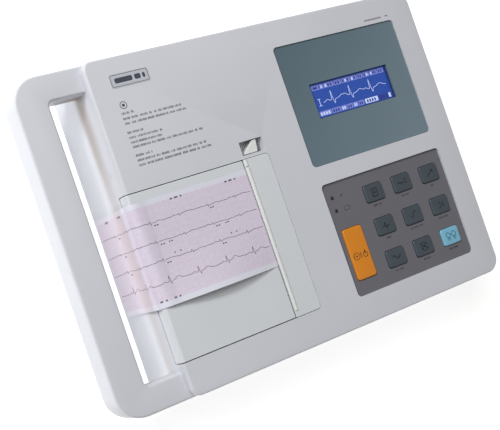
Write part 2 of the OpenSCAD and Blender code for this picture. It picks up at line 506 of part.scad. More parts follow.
// ---------------------------------------------------------------- latch
module latch_lever() color([0.9, 0.9, 0.9]) {
  translate([0, 0, zt - 9]) linear_extrude(8) polygon([[-23.6, 30.5], [-10, 30.5], [-8.5, 40.4], [-12, 40.4]]);
  bar(-17, -12, 31, 34, zt - 18.5, zt - 8.9);
  bar(-17, -12, 25.2, 34, zt - 20, zt - 16.5);
  bar(-30.5, -12, 25.2, 26.9, zt - 20, zt - 16.5);
  bar(-30.5, -28, 25.2, 26.9, zt - 20, zt - 4);
  bar(-31.6, -28, 25.2, 26.9, zt - 7, zt - 4);
}
module latch_spring() color([0.6, 0.6, 0.62]) translate([-12, 32.4, zt - 14]) rotate([0, 90, 0]) coil(1.3, 0.25, 7.8, 6);

bottom_case();
top_case();
handle_lower_cover();
rubber_feet();
case_screws();
battery_cover();
battery_pack();
rear_panel();
mains_inlet();
inlet_pins();
switch_body();
power_rocker();
fuse_holders();
ground_post();
patient_connector();
serial_port();
main_board();
power_board();
transformer();
board_screws();
display_window();
lcd_frame();
lcd_glass();
panel_board();
keypad_fascia();
key_mat();
key_1();
key_2();
key_3();
key_4();
key_5();
key_6();
key_7();
key_8();
key_blue();
key_start();
status_lights();
head_cover();
printer_chassis();
print_head();
head_bracket();
head_springs();
stepper_motor();
motor_pinion();
idler_gear();
idler_pin();
roll_spindle();
roll_core();
paper_roll();
paper_web();
paper_door();
door_hinge_pins();
platen_brackets();
platen_roller();
platen_shaft();
platen_gear();
printed_strip();
strip_tail();
latch_lever();
latch_spring();
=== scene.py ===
import math

import bpy
import bmesh
from mathutils import Matrix, Vector


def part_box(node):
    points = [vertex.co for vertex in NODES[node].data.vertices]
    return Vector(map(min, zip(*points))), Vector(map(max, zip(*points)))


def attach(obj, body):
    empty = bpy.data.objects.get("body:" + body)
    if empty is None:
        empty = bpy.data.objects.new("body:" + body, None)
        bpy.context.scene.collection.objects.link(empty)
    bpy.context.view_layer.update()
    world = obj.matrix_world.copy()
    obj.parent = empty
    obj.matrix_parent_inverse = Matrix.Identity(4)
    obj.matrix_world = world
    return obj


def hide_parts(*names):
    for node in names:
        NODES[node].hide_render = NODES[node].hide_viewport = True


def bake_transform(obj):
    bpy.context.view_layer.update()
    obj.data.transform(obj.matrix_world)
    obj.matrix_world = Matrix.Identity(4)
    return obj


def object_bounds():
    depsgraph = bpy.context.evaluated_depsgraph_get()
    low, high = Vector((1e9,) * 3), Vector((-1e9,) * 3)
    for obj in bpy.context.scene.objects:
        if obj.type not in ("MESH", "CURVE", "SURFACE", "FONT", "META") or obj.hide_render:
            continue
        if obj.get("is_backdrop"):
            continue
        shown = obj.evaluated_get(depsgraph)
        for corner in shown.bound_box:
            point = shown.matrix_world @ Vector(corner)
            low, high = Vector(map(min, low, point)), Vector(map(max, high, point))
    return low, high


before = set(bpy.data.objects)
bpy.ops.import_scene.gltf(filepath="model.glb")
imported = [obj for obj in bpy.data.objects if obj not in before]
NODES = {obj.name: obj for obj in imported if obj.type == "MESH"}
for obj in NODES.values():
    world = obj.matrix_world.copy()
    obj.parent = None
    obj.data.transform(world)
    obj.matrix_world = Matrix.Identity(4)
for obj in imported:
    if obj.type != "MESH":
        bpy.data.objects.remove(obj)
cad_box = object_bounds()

PI = math.pi


# ------------------------------------------------------------------ materials
def lin(c):
    c = c / 255.0
    return c / 12.92 if c <= 0.04045 else ((c + 0.055) / 1.055) ** 2.4


def rgb(r, g, b):
    return (lin(r), lin(g), lin(b), 1.0)


def times(c, k):
    return (min(c[0] * k, 1), min(c[1] * k, 1), min(c[2] * k, 1), 1.0)


def base(name):
    m = bpy.data.materials.new(name)
    m.use_nodes = True
    return m, m.node_tree, m.node_tree.nodes["Principled BSDF"]


def add(nt, kind, **values):
    n = nt.nodes.new(kind)
    for k, v in values.items():
        setattr(n, k, v)
    return n


def noise(nt, scale, detail=2.0):
    tc = add(nt, "ShaderNodeTexCoord")
    n = add(nt, "ShaderNodeTexNoise")
    n.inputs["Scale"].default_value = scale
    n.inputs["Detail"].default_value = detail
    nt.links.new(tc.outputs["Object"], n.inputs["Vector"])
    return n.outputs["Fac"]


def spread(nt, fac, low, high):
    r = add(nt, "ShaderNodeMapRange")
    r.inputs["From Min"].default_value = 0.3
    r.inputs["From Max"].default_value = 0.7
    r.inputs["To Min"].default_value = low
    r.inputs["To Max"].default_value = high
    nt.links.new(fac, r.inputs["Value"])
    return r.outputs["Result"]


def mix(nt, fac, a, b, mode="MIX"):
    x = add(nt, "ShaderNodeMix", data_type="RGBA", blend_type=mode)
    for socket, value in ((0, fac), (6, a), (7, b)):
        if isinstance(value, (tuple, float, int)):
            x.inputs[socket].default_value = value
        else:
            nt.links.new(value, x.inputs[socket])
    return x.outputs[2]


def math_node(nt, op, a, b=None, c=None):
    m = add(nt, "ShaderNodeMath", operation=op)
    for i, v in enumerate((a, b, c)):
        if v is None:
            continue
        if isinstance(v, (int, float)):
            m.inputs[i].default_value = v
        else:
            nt.links.new(v, m.inputs[i])
    return m.outputs[0]


def bump(nt, p, height, distance, strength=1.0):
    b = add(nt, "ShaderNodeBump")
    b.inputs["Strength"].default_value = strength
    b.inputs["Distance"].default_value = distance
    nt.links.new(height, b.inputs["Height"])
    nt.links.new(b.outputs["Normal"], p.inputs["Normal"])


def painted_crease_shade(nt, col):
    """Painted soft brown shade along the waist of the left wall, deepest beside the rear arm."""
    tc = add(nt, "ShaderNodeTexCoord")
    sep = add(nt, "ShaderNodeSeparateXYZ")
    nt.links.new(tc.outputs["Object"], sep.inputs[0])

    def ramp(value, a, b, lo, hi):
        r = add(nt, "ShaderNodeMapRange", interpolation_type="SMOOTHSTEP")
        for k, v in (("From Min", a), ("From Max", b), ("To Min", lo), ("To Max", hi)):
            r.inputs[k].default_value = v
        nt.links.new(value, r.inputs["Value"])
        return r.outputs["Result"]

    x = ramp(sep.outputs[0], -0.1300, -0.1272, 1.0, 0.0)
    left = ramp(sep.outputs[0], -0.1560, -0.1480, 0.0, 1.0)
    up = ramp(sep.outputs[2], 0.0340, 0.0440, 0.0, 1.0)
    down = ramp(sep.outputs[2], 0.0450, 0.0600, 1.0, 0.0)
    along = ramp(sep.outputs[1], 0.0, 0.104, 0.42, 1.0)
    k = math_node(nt, "MULTIPLY", math_node(nt, "MULTIPLY", x, up), math_node(nt, "MULTIPLY", down, along))
    k = math_node(nt, "MULTIPLY", k, math_node(nt, "MULTIPLY", left, 0.74))
    # painted shade colour, brown, mixed in by the mask k
    return mix(nt, k, col, rgb(128, 112, 96))


def plastic(name, color, rough=0.45, vary=0.03, grain=1500, depth=0.00003, coat=0.0, edge_lightening=0.0, waist=False):
    """Moulded plastic: a slow drift of tone, a fine moulded grain and uneven gloss; with waist set, a painted brown
    shade along the left wall's waist.
    """
    m, nt, p = base(name)
    drift = noise(nt, 14, 3)
    col = mix(nt, spread(nt, drift, 0, 1), times(color, 1 - vary), times(color, 1 + vary))
    speck = noise(nt, grain * 0.6, 2)
    col = mix(nt, spread(nt, speck, 0, 0.35), col, times(color, 1 - 1.6 * vary))
    # lightens the colour on convex edges, by Pointiness
    if edge_lightening:
        g = add(nt, "ShaderNodeNewGeometry")
        r = add(nt, "ShaderNodeMapRange")
        r.inputs["From Min"].default_value = 0.54
        r.inputs["From Max"].default_value = 0.62
        nt.links.new(g.outputs["Pointiness"], r.inputs["Value"])
        col = mix(nt, math_node(nt, "MULTIPLY", r.outputs["Result"], edge_lightening), col, times(color, 1.35))
    # painted shade: a brown band in the crease of the left wall
    if waist:
        col = painted_crease_shade(nt, col)
    nt.links.new(col, p.inputs["Base Color"])
    nt.links.new(spread(nt, noise(nt, 55, 4), rough - 0.05, rough + 0.06), p.inputs["Roughness"])
    p.inputs["Coat Weight"].default_value = coat
    p.inputs["Coat Roughness"].default_value = 0.12
    bump(nt, p, noise(nt, grain, 3), depth, 0.5)
    return m


def metal(name, color, rough=0.3, grain=(60, 2400, 2400)):
    """Drawn or plated metal with fine lines and smudges."""
    m, nt, p = base(name)
    tc = add(nt, "ShaderNodeTexCoord")
    mp = add(nt, "ShaderNodeMapping")
    mp.inputs["Scale"].default_value = grain
    n = add(nt, "ShaderNodeTexNoise")
    n.inputs["Scale"].default_value = 1.0
    nt.links.new(tc.outputs["Object"], mp.inputs["Vector"])
    nt.links.new(mp.outputs["Vector"], n.inputs["Vector"])
    col = mix(nt, spread(nt, n.outputs["Fac"], 0, 1), times(color, 0.88), times(color, 1.08))
    nt.links.new(col, p.inputs["Base Color"])
    nt.links.new(spread(nt, noise(nt, 90, 4), rough - 0.08, rough + 0.12), p.inputs["Roughness"])
    p.inputs["Metallic"].default_value = 1.0
    bump(nt, p, n.outputs["Fac"], 0.00001, 0.4)
    return m


def board_material(name, color):
    m, nt, p = base(name)
    tc = add(nt, "ShaderNodeTexCoord")
    br = add(nt, "ShaderNodeTexBrick")
    br.inputs["Scale"].default_value = 95
    br.inputs["Mortar Size"].default_value = 0.012
    br.inputs["Color1"].default_value = color
    br.inputs["Color2"].default_value = times(color, 0.8)
    br.inputs["Mortar"].default_value = times(color, 1.7)
    nt.links.new(tc.outputs["Object"], br.inputs["Vector"])
    col = mix(nt, spread(nt, noise(nt, 40, 3), 0, 0.4), br.outputs["Color"], times(color, 0.6))
    nt.links.new(col, p.inputs["Base Color"])
    p.inputs["Roughness"].default_value = 0.38
    bump(nt, p, br.outputs["Fac"], 0.00004, 0.5)
    return m


def wood_card(name, color):
    m, nt, p = base(name)
    tc = add(nt, "ShaderNodeTexCoord")
    w = add(nt, "ShaderNodeTexWave", wave_type="RINGS", rings_direction="Y")
    w.inputs["Scale"].default_value = 300
    w.inputs["Distortion"].default_value = 1.5
    nt.links.new(tc.outputs["Object"], w.inputs["Vector"])
    col = mix(nt, w.outputs["Fac"], times(color, 0.85), times(color, 1.1))
    nt.links.new(mix(nt, spread(nt, noise(nt, 900, 4), 0, 0.5), col, times(color, 0.7)), p.inputs["Base Color"])
    p.inputs["Roughness"].default_value = 0.8
    bump(nt, p, noise(nt, 1200, 3), 0.00005, 0.6)
    return m


def paper_roll_material(name):
    """Wound paper: thin rings on the ends and a faint printed grid outside."""
    m, nt, p = base(name)
    g = add(nt, "ShaderNodeTexCoord")
    sep = add(nt, "ShaderNodeSeparateXYZ")
    nt.links.new(g.outputs["Object"], sep.inputs[0])
    dx = math_node(nt, "ADD", sep.outputs[0], 0.085)
    dz = math_node(nt, "SUBTRACT", sep.outputs[2], 0.0375)
    r = math_node(nt, "SQRT", math_node(nt, "ADD", math_node(nt, "MULTIPLY", dx, dx), math_node(nt, "MULTIPLY", dz, dz)))
    ring = math_node(nt, "PINGPONG", math_node(nt, "MULTIPLY", r, 1400), 1.0)
    col = mix(nt, ring, rgb(214, 204, 210), rgb(240, 232, 238))
    line = math_node(nt, "GREATER_THAN", math_node(nt, "PINGPONG", math_node(nt, "MULTIPLY", sep.outputs[1], 200), 0.5), 0.46)
    col = mix(nt, math_node(nt, "MULTIPLY", line, 0.3), col, rgb(212, 170, 182))
    nt.links.new(col, p.inputs["Base Color"])
    p.inputs["Roughness"].default_value = 0.7
    bump(nt, p, ring, 0.00003, 0.4)
    return m


def strip_material(name):
    """Recording paper: a pale pink grid between two plain margins, from the sheet's own flat coordinates in millimetres."""
    m, nt, p = base(name)
    uv = add(nt, "ShaderNodeUVMap", uv_map="flat")
    sep = add(nt, "ShaderNodeSeparateXYZ")
    nt.links.new(uv.outputs[0], sep.inputs[0])
    u = math_node(nt, "MULTIPLY", sep.outputs[0], 100.0)
    v = math_node(nt, "MULTIPLY", sep.outputs[1], 100.0)
    fibre = noise(nt, 500, 4)
    ground = mix(nt, spread(nt, fibre, 0, 1), rgb(213, 206, 223), rgb(221, 214, 230))
    lines = None
    for pitch, width, share in ((1.0, 0.40, 0.16), (5.0, 0.475, 0.34)):
        for c in (u, v):
            q = math_node(nt, "PINGPONG", math_node(nt, "DIVIDE", c, pitch), 0.5)
            k = math_node(nt, "MULTIPLY", math_node(nt, "GREATER_THAN", q, width), share)
            lines = k if lines is None else math_node(nt, "MAXIMUM", lines, k)
    printed = mix(nt, lines, ground, rgb(205, 150, 165))
    low = math_node(nt, "GREATER_THAN", v, 4.2)
    high = math_node(nt, "LESS_THAN", v, 76.0)
    inside = math_node(nt, "MULTIPLY", low, high)
    col = mix(nt, inside, rgb(220, 221, 233), printed)
    # painted shade: the hanging part is darkened in a band below the rounded edge, standing in for the soft shade of
    # the waist
    shade = None
    for a, b, lo, hi in ((113.0, 121.0, 0.0, 1.0), (131.0, 143.0, 1.0, 0.35)):
        r = add(nt, "ShaderNodeMapRange", interpolation_type="SMOOTHSTEP")
        for key, val in (("From Min", a), ("From Max", b), ("To Min", lo), ("To Max", hi)):
            r.inputs[key].default_value = val
        nt.links.new(u, r.inputs["Value"])
        shade = r.outputs["Result"] if shade is None else math_node(nt, "MULTIPLY", shade, r.outputs["Result"])
    col = mix(nt, math_node(nt, "MULTIPLY", shade, 0.55), col, rgb(168, 148, 146))
    nt.links.new(col, p.inputs["Base Color"])
    p.inputs["Roughness"].default_value = 0.42
    p.inputs["Coat Weight"].default_value = 0.12
    p.inputs["Coat Roughness"].default_value = 0.35
    bump(nt, p, noise(nt, 900, 4), 0.00002, 0.4)
    return m


def ink(name, color, rough=0.55):
    m, nt, p = base(name)
    nt.links.new(mix(nt, spread(nt, noise(nt, 900, 3), 0, 1), times(color, 0.8), times(color, 1.25)), p.inputs["Base Color"])
    p.inputs["Roughness"].default_value = rough
    return m


def glow(name, color, strength):
    m, nt, p = base(name)
    nt.links.new(mix(nt, spread(nt, noise(nt, 700, 2), 0, 1), times(color, 0.93), times(color, 1.05)), p.inputs["Base Color"])
    p.inputs["Roughness"].default_value = 0.35
    p.inputs["Emission Color"].default_value = color
    p.inputs["Emission Strength"].default_value = strength
    return m


def window_material(name):
    """A printed lens: teal grey ink outside the clear viewing area, with a painted reflection that lightens the ink
    towards the front right.
    """
    m, nt, p = base(name)
    tc = add(nt, "ShaderNodeTexCoord")
    sep = add(nt, "ShaderNodeSeparateXYZ")
    nt.links.new(tc.outputs["Object"], sep.inputs[0])

    def between(value, low, high):
        return math_node(nt, "MULTIPLY", math_node(nt, "GREATER_THAN", value, low), math_node(nt, "LESS_THAN", value, high))

    clear = math_node(nt, "MULTIPLY", between(sep.outputs[0], 0.0566, 0.1388), between(sep.outputs[1], 0.0412, 0.0708))
    # painted reflection: the ink grows lighter towards the front right
    painted_sheen_slope = math_node(nt, "SUBTRACT", sep.outputs[0], sep.outputs[1])
    ramp = add(nt, "ShaderNodeMapRange")
    ramp.inputs["From Min"].default_value = -0.06
    ramp.inputs["From Max"].default_value = 0.14
    nt.links.new(painted_sheen_slope, ramp.inputs["Value"])
    tint = mix(nt, ramp.outputs["Result"], rgb(91, 112, 122), rgb(118, 137, 148))
    tint = mix(nt, spread(nt, noise(nt, 9, 2), 0, 0.25), tint, rgb(80, 100, 108))
    nt.links.new(mix(nt, clear, tint, rgb(60, 90, 150)), p.inputs["Base Color"])
    nt.links.new(math_node(nt, "SUBTRACT", 1.0, math_node(nt, "MULTIPLY", clear, 0.93)), p.inputs["Alpha"])
    nt.links.new(spread(nt, noise(nt, 70, 4), 0.17, 0.26), p.inputs["Roughness"])
    p.inputs["Coat Weight"].default_value = 0.25
    p.inputs["Coat Roughness"].default_value = 0.1
    bump(nt, p, noise(nt, 1600, 2), 0.00001, 0.3)
    return m


CASE = rgb(207, 209, 216)
M = {
    "case_plastic": plastic("case_plastic", CASE, 0.42, 0.02, 1500, 0.00003, waist=True),
    "door_plastic": plastic("door_plastic", rgb(213, 217, 221), 0.42, 0.02, 1500, 0.00003),
    "rubber": plastic("rubber", rgb(38, 38, 40), 0.75, 0.08, 900, 0.00008),
    "steel": metal("steel", rgb(196, 198, 202), 0.32),
    "battery_wrap": plastic("battery_wrap", rgb(52, 78, 138), 0.32, 0.05, 300, 0.00005, 0.2),
    "black_plastic": plastic("black_plastic", rgb(30, 30, 32), 0.42, 0.08, 1200, 0.00004),
    "brass": metal("brass", rgb(214, 180, 104), 0.3),
    "board": board_material("board", rgb(24, 92, 62)),
    "transformer": plastic("transformer", rgb(138, 92, 48), 0.5, 0.12, 420, 0.0001),
    "window": window_material("window"),
    "lcd": glow("lcd_field", rgb(44, 80, 172), 0.26),
    "fascia": plastic("fascia", rgb(108, 107, 114), 0.5, 0.03, 1300, 0.00003),
    "key_mat": plastic("key_mat", rgb(120, 120, 124), 0.75, 0.05, 800, 0.00005),
    "lamp": plastic("lamp", rgb(34, 32, 44), 0.2, 0.08, 600, 0.00001, 0.4),
    "chassis": plastic("chassis", rgb(58, 59, 63), 0.55, 0.05, 1100, 0.00005),
    "ceramic": plastic("ceramic", rgb(204, 200, 186), 0.35, 0.04, 900, 0.00002),
    "aluminium": metal("aluminium", rgb(200, 202, 206), 0.36, (2400, 60, 2400)),
    "gear_plastic": plastic("gear_plastic", rgb(226, 226, 220), 0.4, 0.03, 900, 0.00002),
    "card": wood_card("card", rgb(160, 128, 92)),
    "paper": paper_roll_material("paper_roll"),
    "latch": plastic("latch", rgb(226, 228, 226), 0.38, 0.02, 1400, 0.00002),
    "key_slate": plastic("key_slate", rgb(69, 79, 88), 0.42, 0.05, 1300, 0.00003, edge_lightening=0.3),
    "key_blue": plastic("key_blue", rgb(128, 188, 214), 0.36, 0.03, 1300, 0.00002),
    "key_orange": plastic("key_orange", rgb(222, 136, 30), 0.36, 0.05, 1300, 0.00002),
    "strip": strip_material("recording_paper"),
    "trace_ink": ink("trace_ink", rgb(98, 88, 100)),
    "print_ink": ink("print_ink", rgb(66, 70, 84)),
    "faint_ink": ink("faint_ink", rgb(168, 170, 178)),
    "icon_ink": ink("icon_ink", rgb(30, 34, 42)),
    "blue_ink": ink("blue_ink", rgb(74, 128, 158)),
    "orange_ink": ink("orange_ink", rgb(88, 56, 24)),
    "label_ink": ink("label_ink", rgb(62, 54, 58)),
    "plate_ink": plastic("nameplate", rgb(190, 194, 202), 0.35, 0.03, 900, 0.00001),
    "lcd_border": glow("lcd_border", rgb(30, 48, 120), 0.15),
    "lcd_cell": glow("lcd_cell", rgb(128, 140, 214), 0.35),
    "lcd_dark": glow("lcd_dark", rgb(52, 60, 150), 0.2),
    "lcd_light": glow("lcd_light", rgb(196, 208, 240), 0.55),
}


# ------------------------------------------------------------------ mesh tools
def rrect(x0, y0, x1, y1, r, n=6):
    """Counter-clockwise rounded rectangle. r is one radius, or four (rx, ry) pairs from the low corner round."""
    if not isinstance(r, (list, tuple)):
        r = [(r, r)] * 4
    r = [(q, q) if not isinstance(q, (list, tuple)) else q for q in r]
    pts = []
    for (cx, cy, a0), (rx, ry) in zip(((x0, y0, 180), (x1, y0, 270), (x1, y1, 0), (x0, y1, 90)), r):
        ox = cx + rx if cx == x0 else cx - rx
        oy = cy + ry if cy == y0 else cy - ry
        for i in range(n + 1):
            a = math.radians(a0 + 90 * i / n)
            pts.append((ox + rx * math.cos(a), oy + ry * math.sin(a)))
    return pts


def loft(rings, cap0=True, cap1=True, close=True):
    n = len(rings[0])
    v = [tuple(p) for r in rings for p in r]
    f = []
    for k in range(len(rings) - 1):
        for i in range(n if close else n - 1):
            j = (i + 1) % n
            f.append([k * n + i, k * n + j, (k + 1) * n + j, (k + 1) * n + i])
    if cap0:
        f.append(list(range(n - 1, -1, -1)))
    if cap1:
        f.append([(len(rings) - 1) * n + i for i in range(n)])
    return v, f


def levels(z0, z1, top, bot, k=5):
    """(height, inset) pairs of an edge-rounded slab."""
    out = []
    if bot > 0:
        for i in range(k + 1):
            a = i / k * PI / 2
            out.append((z0 + bot * (1 - math.cos(a)), bot * (1 - math.sin(a))))
    else:
        out.append((z0, 0.0))
    if top > 0:
        for i in range(k + 1):
            a = i / k * PI / 2
            out.append((z1 - top * (1 - math.sin(a)), top * (1 - math.cos(a))))
    else:
        out.append((z1, 0.0))
    return out


def slab(x0, y0, x1, y1, r, z0, z1, top=0.4, bot=0.2, n=6, k=4, crown=0.0):
    rings = []
    for z, d in levels(z0, z1, top, bot, k):
        rings.append([(x, y, z) for x, y in rrect(x0 + d, y0 + d, x1 - d, y1 - d, max(r - d, 0.05), n)])
    if crown:
        half = min(x1 - x0, y1 - y0) / 2 - top
        for i in range(1, 6):
            t = i / 6
            d = top + half * t * 0.94
            z = z1 + crown * (1 - (1 - t) ** 2)
            rings.append([(x, y, z) for x, y in rrect(x0 + d, y0 + d, x1 - d, y1 - d, max(r - d, 0.3), n)])
    return loft(rings)


def inset_poly(pts, d):
    n = len(pts)
    out = []
    for i in range(n):
        a, b, c = Vector(pts[i - 1]), Vector(pts[i]), Vector(pts[(i + 1) % n])
        u, w = (b - a).normalized(), (c - b).normalized()
        nu, nw = Vector((-u.y, u.x)), Vector((-w.y, w.x))
        s = nu + nw
        out.append(tuple(b + s * (d / max(0.2, 1 + nu.dot(nw)))))
    return out


def round_poly(pts, r, n=5):
    """Rounds every corner of a convex counter-clockwise outline."""
    out = []
    m = len(pts)
    for i in range(m):
        a, b, c = Vector(pts[i - 1]), Vector(pts[i]), Vector(pts[(i + 1) % m])
        u, w = (a - b).normalized(), (c - b).normalized()
        half = math.acos(max(-1, min(1, u.dot(w)))) / 2
        t = r / math.tan(half)
        centre = b + (u + w).normalized() * (r / math.sin(half))
        p0, p1 = b + u * t, b + w * t
        a0 = math.atan2(p0.y - centre.y, p0.x - centre.x)
        a1 = math.atan2(p1.y - centre.y, p1.x - centre.x)
        while a1 < a0:
            a1 += 2 * PI
        for k in range(n + 1):
            q = a0 + (a1 - a0) * k / n
            out.append((centre.x + r * math.cos(q), centre.y + r * math.sin(q)))
    return out


def poly_slab(pts, r, z0, z1, top=0.4, bot=0.2, n=5, k=4):
    rings = []
    for z, d in levels(z0, z1, top, bot, k):
        rings.append([(x, y, z) for x, y in round_poly(inset_poly(pts, d), max(r - d, 0.08), n)])
    return loft(rings)


class Piece:
    """Collects closed shapes in millimetres and makes one object of them."""

    def __init__(self):
        self.v, self.f, self.m = [], [], []

    def add(self, shape, slot=0, at=None):
        v, f = shape
        if at is not None:
            v = [tuple(at @ Vector(p)) for p in v]
        o = len(self.v)
        self.v += [tuple(p) for p in v]
        self.f += [[o + i for i in q] for q in f]
        self.m += [slot] * len(f)
        return self

    def mesh(self, name):
        me = bpy.data.meshes.new(name)
        me.from_pydata(self.v, [], self.f)
        me.update()
        for p, s in zip(me.polygons, self.m):
            p.material_index = s
        bm = bmesh.new()
        bm.from_mesh(me)
        bmesh.ops.recalc_face_normals(bm, faces=bm.faces)
        bm.to_mesh(me)
        bm.free()
        return me

    def object(self, name):
        o = bpy.data.objects.new(name, self.mesh(name))
        bpy.context.scene.collection.objects.link(o)
        return o


def bake(o):
    """Applies the object's modifiers to its mesh."""
    bpy.context.view_layer.update()
    dg = bpy.context.evaluated_depsgraph_get()
    me = bpy.data.meshes.new_from_object(o.evaluated_get(dg))
    o.modifiers.clear()
    o.data = me
    return o


def boolean(o, shape, op="DIFFERENCE"):
    c = Piece().add(shape).object("cutter")
    m = o.modifiers.new("b", "BOOLEAN")
    m.operation, m.solver, m.object = op, "EXACT", c
    bake(o)
    bpy.data.objects.remove(c)
    return o


def bevel(o, width, segments=2, angle=40, low=None):
    """Rounds the sharp edges. Edges at or under the height low get a quarter of the width."""
    m = o.modifiers.new("bevel", "BEVEL")
    m.width, m.segments, m.limit_method, m.angle_limit = width, segments, "ANGLE", math.radians(angle)
    m.use_clamp_overlap = True
    if low is not None:
        bm = bmesh.new()
        bm.from_mesh(o.data)
        lay = bm.edges.layers.float.get("bevel_weight_edge") or bm.edges.layers.float.new("bevel_weight_edge")
        for e in bm.edges:
            if len(e.link_faces) == 2 and e.calc_face_angle(0.0) > math.radians(angle):
                e[lay] = 0.25 if max(v.co.z for v in e.verts) <= low else 1.0
        bm.to_mesh(o.data)
        bm.free()
        m.limit_method = "WEIGHT"
    return bake(o)


def finish(o, mats, body, smooth=35, replaces=(), scale=0.001, weighted=True, flat_tops=False):
    """Scales to metres, shades, gives materials and rides the object on its body."""
    me = o.data
    if scale != 1:
        me.transform(Matrix.Scale(scale, 4))
    keep = [p.material_index for p in me.polygons]
    me.materials.clear()
    for name in mats:
        me.materials.append(M[name])
    for p, k in zip(me.polygons, keep):
        p.material_index = min(k, len(mats) - 1)
        p.use_smooth = not (flat_tops and abs(p.normal.z) > 0.9998)
    me.set_sharp_from_angle(angle=math.radians(smooth))
    if weighted:
        w = o.modifiers.new("weighted", "WEIGHTED_NORMAL")
        w.keep_sharp = True
        w.weight = 60
    if body:
        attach(o, body)
    if replaces:
        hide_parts(*replaces)
    return o


def band(pts, w, z0, z1):
    """A flat ribbon of width w along 2-D points, from z0 up to z1."""
    n = len(pts)
    left, right = [], []
    for i in range(n):
        a = Vector(pts[max(i - 1, 0)])
        b = Vector(pts[min(i + 1, n - 1)])
        t = (b - a).normalized()
        s = Vector((-t.y, t.x)) * (w / 2)
        p = Vector(pts[i])
        left.append(p + s)
        right.append(p - s)
    v, f = [], []
    for i in range(n):
        for q in (left[i], right[i]):
            v.append((q.x, q.y, z0))
            v.append((q.x, q.y, z1))
    for i in range(n - 1):
        a, b = 4 * i, 4 * i + 4
        f += [[a + 1, a + 3, b + 3, b + 1], [a, b, b + 2, a + 2], [a, a + 1, b + 1, b], [a + 2, b + 2, b + 3, a + 3]]
    f += [[0, 2, 3, 1], [4 * n - 4, 4 * n - 3, 4 * n - 1, 4 * n - 2]]
    return v, f


def ticks(piece, x0, x1, y, h, z0, z1, w=0.75, gap=0.45, seed=3):
    """A row of small upright blocks of slightly varied height, from x0 to x1."""
    x, k = x0, seed
    while x + w <= x1 + 0.01:
        k = (k * 61 + 17) % 97
        up = h * (0.34, 0.5, 0.5, 0.42)[k % 4]
        piece.add(slab(x, y - h / 2, x + w * (0.7, 1.0, 1.0, 0.85)[k % 4], y + up, 0.12, z0, z1, 0, 0, 1))
        x += w + gap


def dash(x0, x1, y, h, z0, z1):
    return slab(x0, y - h / 2, x1, y + h / 2, h * 0.3, z0, z1, 0, 0, 2)


def ring(cx, cy, r, w, z0, z1, n=20):
    pts = [(cx + r * math.cos(2 * PI * i / n), cy + r * math.sin(2 * PI * i / n)) for i in range(n + 1)]
    v, f = [], []
    for i in range(n):
        a = 2 * PI * i / n
        for rr in (r - w / 2, r + w / 2):
            for z in (z0, z1):
                v.append((cx + rr * math.cos(a), cy + rr * math.sin(a), z))
    for i in range(n):
        a, b = 4 * i, 4 * ((i + 1) % n)
        f += [[a + 1, a + 3, b + 3, b + 1], [a, b, b + 2, a + 2], [a, a + 1, b + 1, b], [a + 2, b + 2, b + 3, a + 3]]
    return v, f


def disc(cx, cy, r, z0, z1, n=14):
    return loft([[(cx + r * math.cos(2 * PI * i / n), cy + r * math.sin(2 * PI * i / n), z) for i in range(n)] for z in (z0, z1)])


# ------------------------------------------------------------------ sizes, in millimetres, from the imported CAD parts
def mm(node):
    a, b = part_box(node)
    return a * 1000, b * 1000


c0, c1 = mm("top_case")
XL, XR, YB, ZT = c0.x, c1.x, c1.y, c1.z
ZS = c0.z
XB = XL + 55
d0, d1 = mm("paper_door")
DY0, DY1 = d0.y, d1.y
SLOT = d1.x
h0, h1 = mm("head_cover")
PIV = (XB + 2.6, ZT - 10.8)


# ------------------------------------------------------------------ top case
def body_ring(z, grow=0.0):
    """Plan outline of the raised body at one height: a broad rounded edge on the left and small ones elsewhere."""
    r_left, r_edge = 3.0, 1.5
    dl = r_left - math.sqrt(max(r_left ** 2 - max(z - (ZT - r_left), 0) ** 2, 0))
    ds = r_edge - math.sqrt(max(r_edge ** 2 - max(z - (ZT - r_edge), 0) ** 2, 0))
    low = min(1.0, max(0.0, (54.5 - z) / 13.5))
    dl -= 1.08 * low ** 1.15
    left = (max(8 - dl, 2.2), max(8 - ds, 2.2))
    right = (max(13 - ds, 2), max(13 - ds, 2))
    return [(x, y, z) for x, y in rrect(XB + dl, -YB + ds, XR - ds, YB - ds, [left, right, right, left], 10)]


zs_list = [ZS, 41.8, 42.8, 44, 45.2, 46.4, 47.8, 49.2, 50.6, 52, 53.2, 54.5, 57, 60, ZT - 7]
zs_list += [ZT - 3 + 3 * math.sin(a * PI / 2 / 8) for a in range(0, 3)]
zs_list += [ZT - 1.5 + 1.5 * math.sin(a * PI / 2 / 6) for a in range(0, 7)]
zs_list = [z for z in zs_list if not ZT - 1.52 < z < ZT - 1.48] + [ZT - 1.5]
zs_list = sorted(set(round(z, 4) for z in zs_list))
top = Piece().add(loft([body_ring(z) for z in zs_list])).object("Top_Case")


def u_ring(z, d, gap_d=None, x_end=-118.0, draft=0.0):
    """Plan outline of the handle loop, open to the body, with its walls moved in by d and the grip's outer face out by draft."""
    g = d if gap_d is None else gap_d
    ro, ri = 21 - d, 4.0 + g
    out = [(x_end, -YB + d)]
    pts = []
    for cx, cy, a0 in ((XL + 21, -YB + 21, 270), (XL + 21, YB - 21, 180)):
        for i in range(13):
            a = math.radians(a0 - 90 * i / 12)
            pts.append((cx + ro * math.cos(a) + draft * min(0.0, math.cos(a)), cy + ro * math.sin(a)))
    out += pts
    out += [(x_end, YB - d), (x_end, YB - 20.5 + g)]
    for cx, cy, a0 in ((XL + 25 + 4.0, YB - 20.5 - 4.0, 90), (XL + 25 + 4.0, -YB + 20.5 + 4.0, 180)):
        for i in range(9):
            a = math.radians(a0 + 90 * i / 8)
            out.append((cx + ri * math.cos(a), cy + ri * math.sin(a)))
    out.append((x_end, -YB + 20.5 - g))
    return [(x, y, z) for x, y in out]


zh = ZT - 7
loop_rings = []
for z, d in levels(ZS, zh, 1.7, 0.6, 6):
    loop_rings.append(u_ring(z, d, None, -118.0, 1.6 * (zh - z) / (zh - ZS)))
boolean(top, loft(loop_rings), "UNION")
